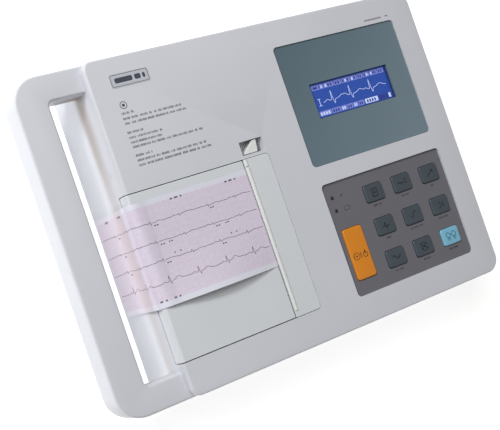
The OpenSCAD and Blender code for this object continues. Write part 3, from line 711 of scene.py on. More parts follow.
# the two cavities
inner = []
for z in (ZS - 1, 55, ZT - 7, ZT - 4.5, ZT - 3.2, ZT - 2.5):
    dl = 4.5 - math.sqrt(max(4.5 ** 2 - max(z - (ZT - 7), 0) ** 2, 0)) if z > ZT - 7 else 0
    inner.append([(x, y, z) for x, y in rrect(XB + 2.5 + dl + 0.3, -YB + 2.5, XR - 2.5, YB - 2.5, [(8, 8), (10.5, 10.5), (10.5, 10.5), (8, 8)], 8)])
boolean(top, loft(inner))
boolean(top, loft([u_ring(ZS - 1, 2.2, 2.2, XB - 0.1), u_ring(zh - 2.2, 2.2, 2.2, XB - 0.1)]))
# printer bay, open through the rounded edge
bay_cut = [[(x, y, z) for x, y in rrect(XB - 6, -103.5, h1.x + 0.1, 27.4, [(0.5, 0.5), (3, 3), (3, 3), (0.5, 0.5)], 6)] for z in (ZT - 13.75, ZT + 6)]
boolean(top, loft(bay_cut))
# latch recess with a sloping right wall
rec = []
for z, x1 in ((ZT - 9.8, -5.3), (ZT + 1.0, -3.3)):
    rec.append([(x, y, z) for x, y in round_poly([(-25, 30), (x1, 30), (x1, 41), (-25, 41)], 0.5, 3)])
boolean(top, loft(rec))
boolean(top, loft([[(x, y, z) for x, y in rrect(33.5, 4, 161, 107.3, 3.6, 6)] for z in (ZT - 2.7, ZT + 4)]))
boolean(top, loft([[(x, y, z) for x, y in rrect(36.5, 7, 158, 104.3, 1.0, 3)] for z in (ZT - 8, ZT + 2)]))
boolean(top, loft([[(x, y, z) for x, y in rrect(34.3, -107.3, 162, -11.5, 3.6, 6)] for z in (ZT - 3.2, ZT + 4)]))
boolean(top, loft([[(x, y, z) for x, y in rrect(37.5, -104, 158.8, -14.8, 1.0, 3)] for z in (ZT - 8, ZT + 2)]))
bevel(top, 0.35, 2, 50, ZS + 0.05)
finish(top, ["case_plastic"], "case", 35, ["top_case"], weighted=False, flat_tops=True)

# ribs, ledges and bosses under the roof
ribs = Piece()
for x0, x1, y0, y1, z0, z1 in (
    (XB + 2.6, h1.x + 2.3, 27.4, 29.6, 55, 67.6), (XB + 2.6, h1.x + 2.3, -105.7, -103.5, 55, 67.6), (h1.x + 0.3, h1.x + 2.5, -105.7, 29.6, 58, 67.6),
    (-27, -2, 41.05, 43, 58.5, 67.6), (-27, -25.05, 28.5, 43, 58.5, 67.6), (-3.7, -2, 28.5, 43, 58.5, 67.6), (-27, -2, 28.5, 29.95, 58.5, 67.6),
    (-26.9, -18, 29, 42.9, 58.5, 60.5), (-18, -2.1, 34.9, 42.9, 58.5, 60.5), (-4.2, -2.2, 29.6, 35, 52, 59)):
    ribs.add(slab(x0, y0, x1, y1, 0.3, z0, z1, 0.15, 0.15, 2, 2))
for y in (27.4, -109.4):
    shape = loft([[(PIV[0] + 2.6 * math.cos(2 * PI * i / 24), y + s, PIV[1] + 2.6 * math.sin(2 * PI * i / 24)) for i in range(24)] for s in (0, 6)])
    ribs.add(shape)
ribs.add(loft([[(x, y, z) for x, z in ((-4.85, 60.6), (-3.0, 60.6), (-3.0, 67.7), (-3.65, 67.7))] for y in (30.1, 40.9)]))
finish(ribs.object("Case_Ribs"), ["case_plastic"], "case", 40)

# the handle's underside plate, let into the loop
cover = [u_ring(z, 2.4 + d, 2.4 + d, XB - 0.4) for z, d in levels(ZS + 0.2, ZS + 2.4, 0.3, 0.5, 3)]
under = Piece().add(loft(cover)).object("Handle_Underside")
finish(under, ["case_plastic"], "case", 35, ["handle_lower_cover"])


# ------------------------------------------------------------------ door and head strip
def extrude_y(profile, y0, y1):
    return loft([[(x, y, z) for x, z in profile] for y in (y0, y1)])


def arc2(cx, cz, r, a0, a1, n):
    return [(cx + r * math.cos(math.radians(a0 + (a1 - a0) * i / n)), cz + r * math.sin(math.radians(a0 + (a1 - a0) * i / n))) for i in range(n + 1)]


profile = arc2(SLOT - 0.7, ZT - 0.7, 0.7, 0, 90, 4)
profile += arc2(XB + 3, ZT - 3, 3, 90, 180, 10)
profile += arc2(PIV[0], PIV[1], 2.6, 180, 350, 14)
profile += [(XB + 2.5, PIV[1] + 1.2)]
profile += arc2(XB + 5, ZT - 5, 2.5, 180, 90, 8)
profile += [(SLOT, ZT - 2.5)]
door = Piece().add(extrude_y(profile, DY0 + 0.35, DY1 - 0.35)).object("Paper_Door")
bevel(door, 0.45, 3, 50)
finish(door, ["door_plastic"], "door", 35, ["paper_door"])
webs = Piece()
for y in (-90, -78, -2, 12):
    webs.add(slab(XB + 14, y, XB + 82, y + 1.6, 0.5, ZT - 5.4, ZT - 2.4, 0.2, 0.3, 3, 2))
for x in (XB + 18, XB + 50):
    webs.add(slab(x, DY0 + 6, x + 1.4, DY1 - 6, 0.5, ZT - 4.2, ZT - 2.4, 0.2, 0.3, 3, 2))
finish(webs.object("Door_Ribs"), ["door_plastic"], "door", 40)

hx0, hx1 = h0.x, h1.x
head = Piece()
rings = []
for z, d in levels(ZT - 2.5, ZT, 0.5, 0.15, 4):
    rings.append([(x, y, z) for x, y in rrect(hx0 + d, DY0 + d, hx1 - d, DY1 - d, [(0.6, 0.6), (2.7, 2.7), (2.7, 2.7), (0.6, 0.6)], 6)])
head.add(loft(rings))
# tear edge: a raised half-round ridge, a notch and a short tab behind it
for y0, y1 in ((DY0 + 5.5, 20.3), (21.5, DY1 - 0.25)):
    prof = [(hx0 + 0.05, ZT - 1.2), (hx0 + 3.45, ZT - 1.2)]
    prof += [(hx0 + 1.75 + 1.7 * math.cos(a * PI / 10), ZT - 0.25 + 1.1 * math.sin(a * PI / 10)) for a in range(0, 11)]
    head.add(extrude_y(prof, y0, y1), 1)
head.add(slab(h1.x - 2.4, DY0 + 4.2, h1.x - 0.6, DY1 - 4.2, 0.3, ZT - 10, ZT - 2.4, 0.2, 0.2, 3, 2))
finish(head.object("Head_Strip"), ["door_plastic", "latch"], "case", 35, ["head_cover"])

# latch lever
lev = Piece()
lev.add(poly_slab([(-23.6, 30.5), (-10, 30.5), (-8.5, 40.4), (-12, 40.4)], 0.7, ZT - 9, ZT - 1, 0.6, 0.3))
for q in ((-17, -12.15, 31, 34, ZT - 18.5, ZT - 8.6), (-17, -12.15, 25.2, 34, ZT - 20, ZT - 16.5), (-30.5, -12.4, 25.2, 26.9, ZT - 20, ZT - 16.5), (-30.5, -28, 25.2, 26.9, ZT - 20, ZT - 4), (-31.6, -28, 25.2, 26.9, ZT - 7, ZT - 4)):
    lev.add(slab(q[0], q[2], q[1], q[3], 0.35, q[4], q[5], 0.3, 0.3, 3, 2))
finish(lev.object("Latch_Lever"), ["latch"], "latch", 35, ["latch_lever"])


# ------------------------------------------------------------------ display
w0, w1 = mm("display_window")
lens = Piece().add(slab(w0.x, w0.y, w1.x, w1.y, 3.4, w0.z, w1.z, 0.35, 0.15, 8))
finish(lens.object("Display_Lens"), ["window"], "case", 35, ["display_window"])
g0, g1 = mm("lcd_glass")
lcd = Piece()
lcd.add(slab(g0.x, g0.y, g1.x, g1.y, 0.6, g0.z, g1.z, 0.1, 0.1, 3, 2), 0)
zl = g1.z
bx0, bx1, by0, by1 = 57.6, 138.2, 42.0, 70.2
lcd.add(slab(bx0 - 1.6, by0 - 1.6, bx1 + 1.6, by1 + 1.6, 0.4, zl - 0.05, zl + 0.04, 0, 0, 3), 0)
lcd.add(slab(bx0, by0, bx1, by1, 0.3, zl, zl + 0.08, 0, 0, 2), 1)
za, zb = zl + 0.06, zl + 0.12
ch = (by1 - by0) * 0.165
wid = bx1 - bx0


def cells(y0, edges, kind):
    for a, b in zip(edges[:-1], edges[1:]):
        xa, xc = bx0 + a * wid + 0.3, bx0 + b * wid - 0.3
        lcd.add(slab(xa, y0 + 0.25, xc, y0 + ch - 0.25, 0.25, za, zb, 0, 0, 2), kind)


hdr = [0.02, 0.18, 0.31, 0.41, 0.53, 0.62, 0.70, 0.79, 0.90, 0.985]
cells(by1 - ch - 0.6, hdr, 2)
ftr = [0.02, 0.18, 0.30, 0.38, 0.46, 0.53, 0.61]
cells(by0 + 0.6, ftr, 2)
cells(by0 + 0.6, [0.62, 0.80], 4)
cells(by0 + 0.6, [0.815, 0.90], 3)
cells(by0 + 0.6, [0.905, 0.945], 3)
lcd.add(slab(bx0 + 0.945 * wid, by0 + 0.9, bx0 + 0.975 * wid, by0 + ch + 0.2, 0.2, za, zb, 0, 0, 2), 4)
for i, (a, b) in enumerate(zip(hdr[:-1], hdr[1:])):
    xa = bx0 + a * wid + 1.2
    xb_ = bx0 + b * wid - 1.2
    if i == 0:
        lcd.add(slab(xa + 0.4, by1 - ch + 0.5, xa + 4.6, by1 - 2.2, 0.2, zb - 0.01, zb + 0.05, 0, 0, 2), 3)
        xa += 6.2
    n = 2 if xb_ - xa < 6 else 3
    for k in range(n):
        s = (xb_ - xa) / n
        lcd.add(slab(xa + k * s, by1 - ch + 0.4, xa + k * s + s * 0.62, by1 - 2.0, 0.2, zb - 0.01, zb + 0.05, 0, 0, 2), 4 if (i + k) % 3 == 1 else 3)
for i, (a, b) in enumerate(zip(ftr[:-1] + [0.63], ftr[1:] + [0.79])):
    xa = bx0 + a * wid + 1.2
    xb_ = bx0 + b * wid - 1.0
    n = max(2, int((xb_ - xa) / 2.4))
    for k in range(n):
        s = (xb_ - xa) / n
        lcd.add(slab(xa + k * s, by0 + 1.5, xa + k * s + s * 0.6, by0 + ch - 0.6, 0.2, zb - 0.01, zb + 0.05, 0, 0, 2), 3 if i % 2 or i > 5 else 4)
wave = []
mid = by0 + 0.42 * (by1 - by0)
for i in range(0, 241):
    t = i / 240
    x = bx0 + wid * (0.115 + 0.84 * t)
    f = (x - bx0) / wid
    y = mid + 1.2 * f
    for c in (0.235, 0.475, 0.745):
        q = f - c
        y += 8.2 * math.exp(-(q / 0.0065) ** 2) - 3.4 * math.exp(-((q - 0.02) / 0.009) ** 2)
        y += 1.3 * math.exp(-((q + 0.065) / 0.022) ** 2) + 2.2 * math.exp(-((q - 0.13) / 0.045) ** 2)
    wave.append((x, min(y, by1 - ch - 1.0)))
lcd.add(band(wave, 0.42, za, zb), 4)
lcd.add(band([(bx0 + 0.07 * wid, mid - 2.2), (bx0 + 0.07 * wid, mid + 3.4)], 0.5, za, zb), 4)
for y in (mid - 2.2, mid + 3.4):
    lcd.add(band([(bx0 + 0.052 * wid, y), (bx0 + 0.088 * wid, y)], 0.5, za, zb), 4)
finish(lcd.object("Display_Picture"), ["lcd_border", "lcd", "lcd_cell", "lcd_dark", "lcd_light"], "case", 30, ["lcd_glass"], weighted=False)

# ------------------------------------------------------------------ keypad
f0, f1 = mm("keypad_fascia")
FZ = f1.z
keyx = [83.2, 113.7, 144.7]
keyy = [-30.5, -59.5, -87.7]
kz0, kz1 = mm("key_1")[0].z, mm("key_1")[1].z
KEY_UP = 0.45


def key_shape(cx, cy, l, w, crown):
    rings = []
    for z, d in ((kz0, -0.9), (kz0 + 1.1, -0.9), (kz0 + 1.2, 0.0)):
        rings.append((z, d))
    for z, d in levels(kz0 + 1.3, kz1 + KEY_UP - crown, 1.1, 0, 6)[1:]:
        rings.append((z, d))
    out = [[(x, y, z) for x, y in rrect(cx - l / 2 + d, cy - w / 2 + d, cx + l / 2 - d, cy + w / 2 - d, max(2.4 - d, 0.4), 6)] for z, d in rings]
    half = min(l, w) / 2 - 1.1
    for i in range(1, 6):
        t = i / 6
        d = 1.1 + half * t * 0.94
        z = kz1 + KEY_UP - crown + crown * (1 - (1 - t) ** 2)
        out.append([(x, y, z) for x, y in rrect(cx - l / 2 + d, cy - w / 2 + d, cx + l / 2 - d, cy + w / 2 - d, max(2.4 - d, 0.3), 6)])
    return loft(out)


def icon(kind, cx, cy, z0, z1):
    """Plain function marks: a page, arrows, a wave, a clock and the like."""
    out = []

    def line(pts, w=0.55):
        out.append(band([(cx + a, cy + b) for a, b in pts], w + 0.18, z0, z1))

    if kind == 0:
        line([(-2.6, -3.2), (2.6, -3.2), (2.6, 3.2), (-2.6, 3.2), (-2.6, -3.2)], 0.7)
        line([(-1.4, 1.2), (1.4, 1.2)])
        line([(-1.4, -0.4), (1.4, -0.4)])
    elif kind == 1:
        line([(-5.2, 0.3), (-3.2, 0.3), (-2.2, 1.6), (-1.2, -1.6), (-0.4, 0.3), (1.2, 0.3)], 0.7)
        line([(2.0, 2.2), (4.4, 2.2)], 0.8)
        line([(2.0, -0.4), (4.4, -0.4)], 0.8)
    elif kind == 2:
        line([(-3.4, -2.4), (3.4, 2.4)])
        line([(3.4, 2.4), (1.2, 2.4)])
        line([(3.4, 2.4), (3.2, 0.2)])
    elif kind == 3:
        line([(-3.6, -0.8), (-1.8, -0.8), (-0.9, 2.4), (0.4, -2.8), (1.2, -0.8), (3.6, -0.8)], 0.7)
    elif kind == 4:
        line([(-3.4, -0.4), (-1.6, -2.4), (1.0, 2.6), (3.8, 2.6)], 0.6)
    elif kind == 5:
        line([(-2.0, 2.8), (2.2, 0.2), (-2.0, -2.6)], 0.6)
        line([(3.0, 2.6), (3.0, -2.4)], 0.5)
    elif kind == 6:
        line([(-4.2, 0.6), (-3, 1.8), (-1.6, 1.2), (-0.2, -0.6), (1.4, -1.2), (3.0, 0.2), (4.2, 1.6)], 0.7)
    elif kind == 7:
        line([(-3.2, 2.6), (3.4, -2.6)], 0.6)
        line([(-3.0, -2.4), (2.8, 2.6)], 0.6)
        out.append(ring(cx, cy, 3.6, 0.5, z0, z1))
    elif kind == 8:
        for s in (-3.1, 3.1):
            out.append(ring(cx + s, cy + 1.2, 2.1, 0.75, z0, z1))
            line([(s - 1.9, -1.6), (s + 1.9, -1.6)], 0.7)
            line([(s - 1.2, -3.0), (s + 1.2, -3.0)], 0.6)
        line([(-1.0, 1.2), (1.0, 1.2)], 0.7)
    elif kind == 9:
        out.append(ring(cx - 4.2, cy, 2.9, 0.5, z0, z1, 24))
        out.append(disc(cx - 4.2, cy, 0.9, z0, z1))
        line([(0.2, -2.4), (0.2, 2.4)], 0.5)
        out.append(ring(cx + 4.6, cy - 0.4, 2.2, 0.5, z0, z1))
        line([(4.6, -0.2), (4.6, 3.6)], 0.5)
    return out


for i in range(8):
    cx, cy = keyx[i % 3], keyy[i // 3]
    k = Piece().add(key_shape(cx, cy, 19.4, 14.8, 0.25), 0)
    for s in icon(i, cx, cy, kz1 + KEY_UP - 0.25, kz1 + KEY_UP + 0.03):
        k.add(s, 1)
    finish(k.object("Key_%d" % (i + 1)), ["key_slate", "icon_ink"], "key_%d_body" % (i + 1), 40, ["key_%d" % (i + 1)])
k = Piece().add(key_shape(keyx[2], keyy[2], 19.4, 14.8, 0.25), 0)
for s in icon(8, keyx[2], keyy[2], kz1 + KEY_UP - 0.25, kz1 + KEY_UP + 0.03):
    k.add(s, 1)
finish(k.object("Key_Blue"), ["key_blue", "blue_ink"], "key_blue_body", 40, ["key_blue"])
k = Piece().add(key_shape(49.75, -73.25, 19.5, 43.5, 0.3), 0)
for s in icon(9, 49.6, -75.5, kz1 + KEY_UP - 0.3, kz1 + KEY_UP + 0.03):
    k.add(s, 1)
finish(k.object("Key_Start"), ["key_orange", "orange_ink"], "key_start_body", 40, ["key_start"])

# lamps, their marks and the legends under the keys
lamps = Piece()
for y in (-24, -35):
    rings = [[(42 + r * math.cos(2 * PI * i / 20), y + r * math.sin(2 * PI * i / 20), z) for i in range(20)]
             for z, r in ((60.0, 1.9), (61.0, 1.9), (61.05, 1.5), (FZ - 0.1, 1.5), (FZ + 0.15, 1.4), (FZ + 0.35, 1.1), (FZ + 0.47, 0.6))]
    lamps.add(loft(rings))
finish(lamps.object("Status_Lamps"), ["lamp"], "case", 40, ["status_lights"])

legend = Piece()
z0, z1 = FZ - 0.02, FZ + 0.03
legend.add(band([(49.6, -24.6), (51.6, -23.2), (53.6, -23.2)], 0.45, z0, z1))
legend.add(band([(51.4, -23.2), (51.4, -25.4)], 0.45, z0, z1))
legend.add(band([(50, -36.6), (55.2, -36.6), (55.2, -33.4), (50, -33.4), (50, -36.6)], 0.4, z0, z1))
legend.add(band([(55.9, -35.6), (55.9, -34.4)], 0.6, z0, z1))
words = {0: [5.2, 2.4], 1: [3.6, 3.2], 2: [4.2], 3: [4.6], 4: [3.4, 5.0, 3.2], 5: [6.0, 4.0], 6: [3.0, 4.8], 7: [3.2, 3.2], 8: [3.4, 6.6]}
for i in range(9):
    cx, cy = keyx[i % 3], keyy[i // 3] - 10.6
    total = sum(words[i]) + 0.9 * (len(words[i]) - 1)
    x = cx - total / 2
    for w in words[i]:
        ticks(legend, x, x + w, cy, 1.7, z0, z1, 0.8, 0.4, i + 2)
        x += w + 0.9
finish(legend.object("Keypad_Legend"), ["label_ink"], "case", 30, weighted=False)

# ------------------------------------------------------------------ printed marks on the case: plain dashes and a blank plate
marks = Piece()
z0, z1 = ZT - 0.02, ZT + 0.025


def words_row(x0, x1, y, h, seed):
    x, k = x0, seed
    while x < x1 - 1.0:
        k = (k * 73 + 41) % 101
        w = 2.3 + 5.8 * k / 101
        w = min(w, x1 - x)
        ticks(marks, x, x + w, y, h, z0, z1, 0.72, 0.43, k)
        x += w + 0.9


for x0, x1, y in ((-111.3, -98.4, 86.0), (-111.3, -61.9, 81.9), (-111.3, -57.9, 78.1), (-111.7, -97.2, 71.1), (-111.7, -82, 67.2), (-111.5, -83.2, 63.4),
                  (-111.2, -49.7, 59.8), (-111.2, -96.3, 53.1), (-111.2, -51.2, 49.3), (-111.2, -48.6, 45.6)):
    words_row(x0, x1, y, 1.8, int(abs(x1) * 7 + y))
ticks(marks, 131.5, 150.5, 111.3, 1.4, z0, z1, 0.7, 0.4, 5)
ticks(marks, 154.5, 157.5, 111.6, 1.4, z0, z1, 0.7, 0.4, 7)
marks.add(ring(-107.6, 92.1, 2.7, 0.55, z0, z1, 24))
marks.add(disc(-107.6, 92.1, 1.2, z0, z1))
finish(marks.object("Case_Print"), ["print_ink"], "case", 30, weighted=False)
plate = Piece()
plate.add(slab(-112, 105.6, -79.2, 116.4, 1.6, ZT - 0.1, ZT + 0.2, 0.12, 0, 5), 0)
edge = rrect(-111.1, 106.5, -80.1, 115.5, 1.1, 3)
plate.add(band(edge + [edge[0]], 0.4, ZT + 0.1, ZT + 0.23), 1)
for a, b in ((-108.2, -93.4), (-91.6, -86.4), (-84.8, -82.6)):
    plate.add(slab(a, 109.0, b, 113.0, 1.2, ZT + 0.1, ZT + 0.24, 0, 0, 4), 1)
finish(plate.object("Blank_Plate"), ["plate_ink", "print_ink"], "case", 35)
side = Piece()
for z in (57.2, 53.8):
    v, f = slab(43.4, z - 0.25, 47.0, z + 0.25, 0.15, 0, 0.06, 0, 0, 2)
    side.add(([(XB - 0.04 - c, a, b) for a, b, c in v], f))
finish(side.object("Side_Marks"), ["faint_ink"], "case", 30, weighted=False)


# ------------------------------------------------------------------ recording paper
PY0, PY1 = -60.5, 19.5
path = [(SLOT + 0.35, ZT - 1.1), (SLOT + 0.2, ZT - 0.2), (SLOT - 0.4, ZT + 0.35)]
flat_to = XB + 13
n_flat = 44
for i in range(1, n_flat + 1):
    path.append((SLOT - 0.4 + (flat_to - SLOT + 0.4) * i / n_flat, ZT + 0.30))
# over the rounded edge: the sheet is a little stiff and stands off the corner
q0, q1, q2, q3 = (XB + 13, ZT + 0.30), (XB + 7, ZT + 1.6), (XB - 3.4, ZT + 2.6), (XB - 2.0, ZT - 8.5)
for i in range(1, 21):
    t = i / 20
    c = ((1 - t) ** 3, 3 * t * (1 - t) ** 2, 3 * t * t * (1 - t), t ** 3)
    path.append((c[0] * q0[0] + c[1] * q1[0] + c[2] * q2[0] + c[3] * q3[0], c[0] * q0[1] + c[1] * q1[1] + c[2] * q2[1] + c[3] * q3[1]))
drop = [(XB - 2.05, 58.5), (XB - 2.1, 55), (XB - 2.1, 51), (XB - 2.1, 47), (XB - 2.12, 43.5), (XB - 2.2, 40), (XB - 2.4, 36.5),
        (XB - 2.8, 31.5), (XB - 3.3, 26), (XB - 3.8, 20.5), (XB - 4.3, 15), (XB - 4.85, 9.5), (XB - 5.1, 7.0)]
path += drop
cum = [0.0]
for a, b in zip(path[:-1], path[1:]):
    cum.append(cum[-1] + math.dist(a, b))
LENGTH = cum[-1]


def on_paper(s, y):
    """Point of the sheet at flat distance s from the slot and at depth y, with the free front edge arched off the door."""
    s = max(0.0, min(LENGTH - 1e-6, s))
    k = 0
    while cum[k + 1] < s:
        k += 1
    t = (s - cum[k]) / (cum[k + 1] - cum[k])
    a, b = path[k], path[k + 1]
    x, z = a[0] + (b[0] - a[0]) * t, a[1] + (b[1] - a[1]) * t
    e = (PY1 - y) / (PY1 - PY0)
    lift = math.sin(PI * max(0.0, min(1.0, (s - 3.0) / 103.0)))
    if lift > 0:
        shape = lift ** 1.15
        z += 6.0 * shape * max(0.0, (e - 0.36) / 0.64) ** 1.6 + 0.25 * shape
    if s > 108:
        q = (s - 108) / (LENGTH - 108)
        x -= 0.25 * math.sin(PI * q) * (0.5 + 0.5 * math.sin(6.0 * e + 0.7)) + 0.35 * q * q * (1 - e) * 0.6
    return Vector((x, y, z))


def on_paper_n(s, y, off):
    p = on_paper(s, y)
    du = on_paper(min(s + 0.3, LENGTH), y) - on_paper(max(s - 0.3, 0), y)
    dv = on_paper(s, y + 0.3) - on_paper(s, y - 0.3)
    n = dv.cross(du)
    if n.length < 1e-9:
        return p
    n.normalize()
    if n.z < 0 and n.x > 0:
        n = -n
    return p + n * off


svals = [0.0]
while svals[-1] < LENGTH - 1.4:
    s = svals[-1]
    step = 0.7 if s < 3 else (1.15 if 94 < s < 122 else 2.2)
    svals.append(min(s + step, LENGTH))
if svals[-1] < LENGTH:
    svals.append(LENGTH)
NY = 32
THICK = 0.09
me_v, me_f, uv = [], [], []
for layer, off in ((0, THICK), (1, 0.0)):
    for s in svals:
        for j in range(NY + 1):
            y = PY0 + (PY1 - PY0) * j / NY
            me_v.append(tuple(on_paper_n(s, y, off)))
            uv.append((s / 100.0, (y - PY0) / 100.0))
ns = len(svals)
row = NY + 1
for i in range(ns - 1):
    for j in range(NY):
        a = i * row + j
        me_f.append([a, a + 1, a + row + 1, a + row])
        b = ns * row + a
        me_f.append([b, b + row, b + row + 1, b + 1])
for i in range(ns - 1):
    for j in (0, NY):
        a = i * row + j
        b = ns * row + a
        me_f.append([a, a + row, b + row, b] if j == 0 else [a, b, b + row, a + row])
for j in range(NY):
    for i in (0, ns - 1):
        a = i * row + j
        b = ns * row + a
        me_f.append([a, b, b + 1, a + 1] if i == 0 else [a, a + 1, b + 1, b])
sheet_me = bpy.data.meshes.new("Recording_Paper")
sheet_me.from_pydata([(x * 0.001, y * 0.001, z * 0.001) for x, y, z in me_v], [], me_f)
lay = sheet_me.uv_layers.new(name="flat")
for loop in sheet_me.loops:
    lay.data[loop.index].uv = uv[loop.vertex_index]
bm = bmesh.new()
bm.from_mesh(sheet_me)
bmesh.ops.recalc_face_normals(bm, faces=bm.faces)
bm.to_mesh(sheet_me)
bm.free()
sheet_me.materials.append(M["strip"])
for p in sheet_me.polygons:
    p.use_smooth = True
sheet_me.set_sharp_from_angle(angle=math.radians(60))
sheet = bpy.data.objects.new("Recording_Paper", sheet_me)
bpy.context.scene.collection.objects.link(sheet)
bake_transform(sheet)
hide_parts("printed_strip", "strip_tail")


# traces and margin marks follow the sheet
def s_of_x(x):
    return max(3.2, 3.2 + (SLOT - 0.4 - x)) if x > flat_to else None


ink_v, ink_f = [], []


def paper_band(points, w):
    """Ribbon along flat (s, y) points, laid just over the sheet."""
    global ink_v, ink_f
    o = len(ink_v)
    n = len(points)
    for i in range(n):
        a = Vector(points[max(i - 1, 0)])
        b = Vector(points[min(i + 1, n - 1)])
        t = (b - a)
        t = t.normalized() if t.length > 1e-9 else Vector((1, 0))
        side_v = Vector((-t.y, t.x)) * (w / 2)
        for q in (Vector(points[i]) + side_v, Vector(points[i]) - side_v):
            for off in (THICK + 0.005, THICK + 0.04):
                ink_v.append(tuple(on_paper_n(q.x, q.y, off)))
    for i in range(n - 1):
        a, b = o + 4 * i, o + 4 * i + 4
        ink_f += [[a + 1, a + 3, b + 3, b + 1], [a, b, b + 2, a + 2], [a, a + 1, b + 1, b], [a + 2, b + 2, b + 3, a + 3]]
    ink_f += [[o, o + 2, o + 3, o + 1], [o + 4 * n - 4, o + 4 * n - 3, o + 4 * n - 1, o + 4 * n - 2]]


rows = [(2.0, 25.0, (0.5, 1.0, -1.2, 0.6)), (-12.9, 25.0, (0.5, 1.0, -0.8, 0.5)), (-27.2, 25.0, (0.5, 1.6, -1.0, 0.5)), (-43.4, 25.0, (0.9, 4.6, -1.9, 1.9))]
qrs_s = [18.6, 43.4, 68.4, 92.9, 117.6, 142.4]
for r, (y0, period, (pw, rw, sw, tw)) in enumerate(rows):
    pts = []
    s = 3.4
    while s < LENGTH - 2.0:
        y = y0 + 0.25 * math.sin(s * 0.13 + r) + 0.10 * math.sin(s * 0.9 + 2 * r)
        for k, c in enumerate(qrs_s):
            q = c - s + 0.6 * math.sin(r * 2.1)
            grow = 1.35 if (r == 0 and k == 3) else 1.0
            y += grow * rw * math.exp(-(q / 0.42) ** 2) + grow * sw * math.exp(-((q - 0.95) / 0.45) ** 2)
            y += pw * math.exp(-((q + 4.2) / 1.3) ** 2) + tw * math.exp(-((q - 7.4) / 2.6) ** 2)
        pts.append((s, y))
        near = min(abs(c - s + 0.6 * math.sin(r * 2.1)) for c in qrs_s)
        s += 0.22 if near < 2.2 else 0.8
    paper_band(pts, 0.36)


def paper_dashes(s0, y, sizes, h=1.1):
    s = s0
    for w in sizes:
        if w > 0:
            paper_band([(s, y), (s + w * 0.5, y), (s + w, y)], h)
        s += abs(w) + 0.7


def sx(x):
    return 3.2 + (SLOT - 0.4 - x)


for x, y in ((-46.5, 15.0), (-95, 15.0)):
    paper_dashes(sx(x) - 9.5, y, (1.4, -0.6, 3.0, -0.2, 2.0), 1.2)
paper_dashes(121.5, 14.4, (2.6, 2.2), 1.5)
paper_dashes(146.0, 14.4, (2.4, 1.8), 1.5)
for x, y in ((-117.0, -55.6), (-128, -55.6)):
    paper_dashes(sx(x) - 4, y, (1.3, -0.8, 2.0), 1.3)
for s in (38.2, 86.4, 134.0):
    for r, dy in ((0, -2.6), (1, -2.4), (2, -2.4)):
        paper_dashes(s, rows[r][0] + dy, (1.4, 1.4), 0.9)
for s in (30.0, 79.6):
    paper_dashes(s, -15.2 + 0.2, (1.4, 1.2), 0.8)
    paper_dashes(s - 4, -25.6 + 1.6, (1.2, -2.4, 1.2), 0.9)
tr = bpy.data.meshes.new("Paper_Traces")
tr.from_pydata([(x * 0.001, y * 0.001, z * 0.001) for x, y, z in ink_v], [], ink_f)
bm = bmesh.new()
bm.from_mesh(tr)
bmesh.ops.recalc_face_normals(bm, faces=bm.faces)
bm.to_mesh(tr)
bm.free()
tr.materials.append(M["trace_ink"])
traces = bpy.data.objects.new("Paper_Traces", tr)
bpy.context.scene.collection.objects.link(traces)
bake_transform(traces)

# ------------------------------------------------------------------ carried-over nodes
FINISH = {"bottom_case": "case_plastic", "battery_cover": "case_plastic", "rear_panel": "case_plastic", "rubber_feet": "rubber", "case_screws": "steel", "battery_pack": "battery_wrap",
          "mains_inlet": "black_plastic", "inlet_pins": "steel", "switch_body": "black_plastic", "power_rocker": "black_plastic", "fuse_holders": "black_plastic", "ground_post": "brass",
          "patient_connector": "steel", "serial_port": "steel", "main_board": "board", "power_board": "board", "transformer": "transformer", "board_screws": "steel", "lcd_frame": "steel",
          "panel_board": "board", "keypad_fascia": "fascia", "key_mat": "key_mat", "printer_chassis": "chassis", "print_head": "ceramic", "head_bracket": "aluminium", "head_springs": "steel",
          "stepper_motor": "steel", "motor_pinion": "brass", "idler_gear": "gear_plastic", "idler_pin": "steel", "roll_spindle": "gear_plastic", "roll_core": "card", "paper_roll": "paper",
          "paper_web": "paper", "door_hinge_pins": "steel", "platen_brackets": "chassis", "platen_roller": "rubber", "platen_shaft": "steel", "platen_gear": "gear_plastic", "latch_spring": "steel"}
BEVELS = {"bottom_case": 0.15, "rear_panel": 0.4, "battery_cover": 0.4, "mains_inlet": 0.35, "switch_body": 0.35, "power_rocker": 0.3, "fuse_holders": 0.3, "keypad_fascia": 0.18, "rubber_feet": 0.6,
          "case_screws": 0.15, "patient_connector": 0.12, "ground_post": 0.2, "serial_port": 0.12, "stepper_motor": 0.3, "printer_chassis": 0.2, "battery_pack": 1.2, "platen_brackets": 0.2,
          "transformer": 0.4, "print_head": 0.1, "head_bracket": 0.15, "platen_roller": 0.25, "roll_core": 0.2, "paper_roll": 0.15, "main_board": 0.12, "power_board": 0.12}
for name, finish_name in FINISH.items():
    o = NODES[name]
    for i in range(max(1, len(o.material_slots))):
        if i < len(o.material_slots):
            o.material_slots[i].material = M[finish_name]
        else:
            o.data.materials.append(M[finish_name])
    if name in BEVELS:
        w = o.modifiers.new("weld", "WELD")
        w.merge_threshold = 2e-6
        b = o.modifiers.new("bevel", "BEVEL")
        b.width, b.segments, b.limit_method, b.angle_limit = BEVELS[name] / 1000, 2, "ANGLE", math.radians(50)
        b.use_clamp_overlap = True
        n = o.modifiers.new("weighted", "WEIGHTED_NORMAL")
        n.keep_sharp = True

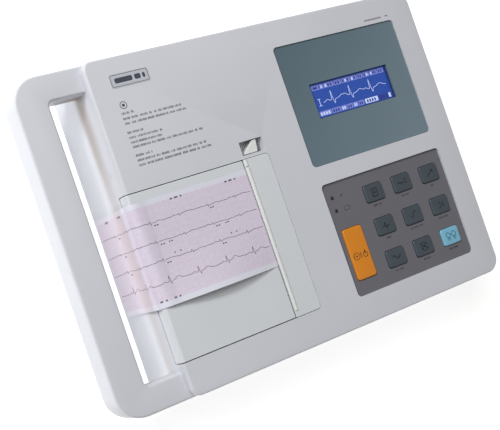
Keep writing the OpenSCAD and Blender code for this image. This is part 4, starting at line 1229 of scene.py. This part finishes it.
# ------------------------------------------------------------------ floor, light, camera
bpy.ops.mesh.primitive_plane_add(size=12, location=(0, 0, 0))
floor = bpy.context.object
floor.name = "Floor"
m, nt, p = base("floor")
nt.links.new(mix(nt, spread(nt, noise(nt, 3, 2), 0, 1), (0.90, 0.90, 0.90, 1), (0.93, 0.93, 0.93, 1)), p.inputs["Base Color"])
p.inputs["Roughness"].default_value = 0.9
p.inputs["Specular IOR Level"].default_value = 0.1
p.inputs["Emission Color"].default_value = (1, 1, 1, 1)
p.inputs["Emission Strength"].default_value = 0.62
floor.data.materials.append(m)
floor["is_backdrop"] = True

world = bpy.data.worlds.new("studio")
bpy.context.scene.world = world
world.use_nodes = True
bg = world.node_tree.nodes["Background"]
bg.inputs["Color"].default_value = (1.0, 0.975, 0.945, 1)
bg.inputs["Strength"].default_value = 0.27


def area(name, loc, target, size, power, color=(1, 1, 1)):
    d = bpy.data.lights.new(name, "AREA")
    d.shape = "RECTANGLE"
    d.size, d.size_y = size
    d.energy = power
    d.color = color
    o = bpy.data.objects.new(name, d)
    bpy.context.scene.collection.objects.link(o)
    o.location = loc
    o.rotation_euler = (Vector(target) - Vector(loc)).to_track_quat("-Z", "Y").to_euler()


area("Key", (-1.15, 1.1, 1.1), (0, 0, 0.04), (0.35, 0.35), 17, (0.985, 0.99, 0.99))
area("Soft", (-0.9, 0.9, 1.6), (0, 0, 0.04), (1.2, 1.2), 16, (0.985, 0.99, 0.995))
area("Fill", (0.9, -0.9, 1.2), (0, 0, 0.04), (1.2, 1.2), 1.0, (1.0, 0.97, 0.94))

cam = bpy.data.cameras.new("Camera")
cam.lens = 72
cam.sensor_width = 36
cam.clip_start = 0.01
camera = bpy.data.objects.new("Camera", cam)
bpy.context.scene.collection.objects.link(camera)
camera.matrix_world = Matrix(((0.83134761, 0.27929801, -0.48047245, -0.41011), (-0.32574625, 0.94535213, -0.01409738, -0.02650), (0.45027828, 0.16823192, 0.87689651, 0.75223), (0, 0, 0, 1)))
bpy.context.scene.camera = camera
bpy.context.scene.view_settings.view_transform = "Standard"

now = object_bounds()


def plain(b):
    return [[float(x) for x in v] for v in b] if hasattr(b[0], "__len__") else [float(x) for x in b]


{"cad": plain(cad_box), "visual": plain(now)}
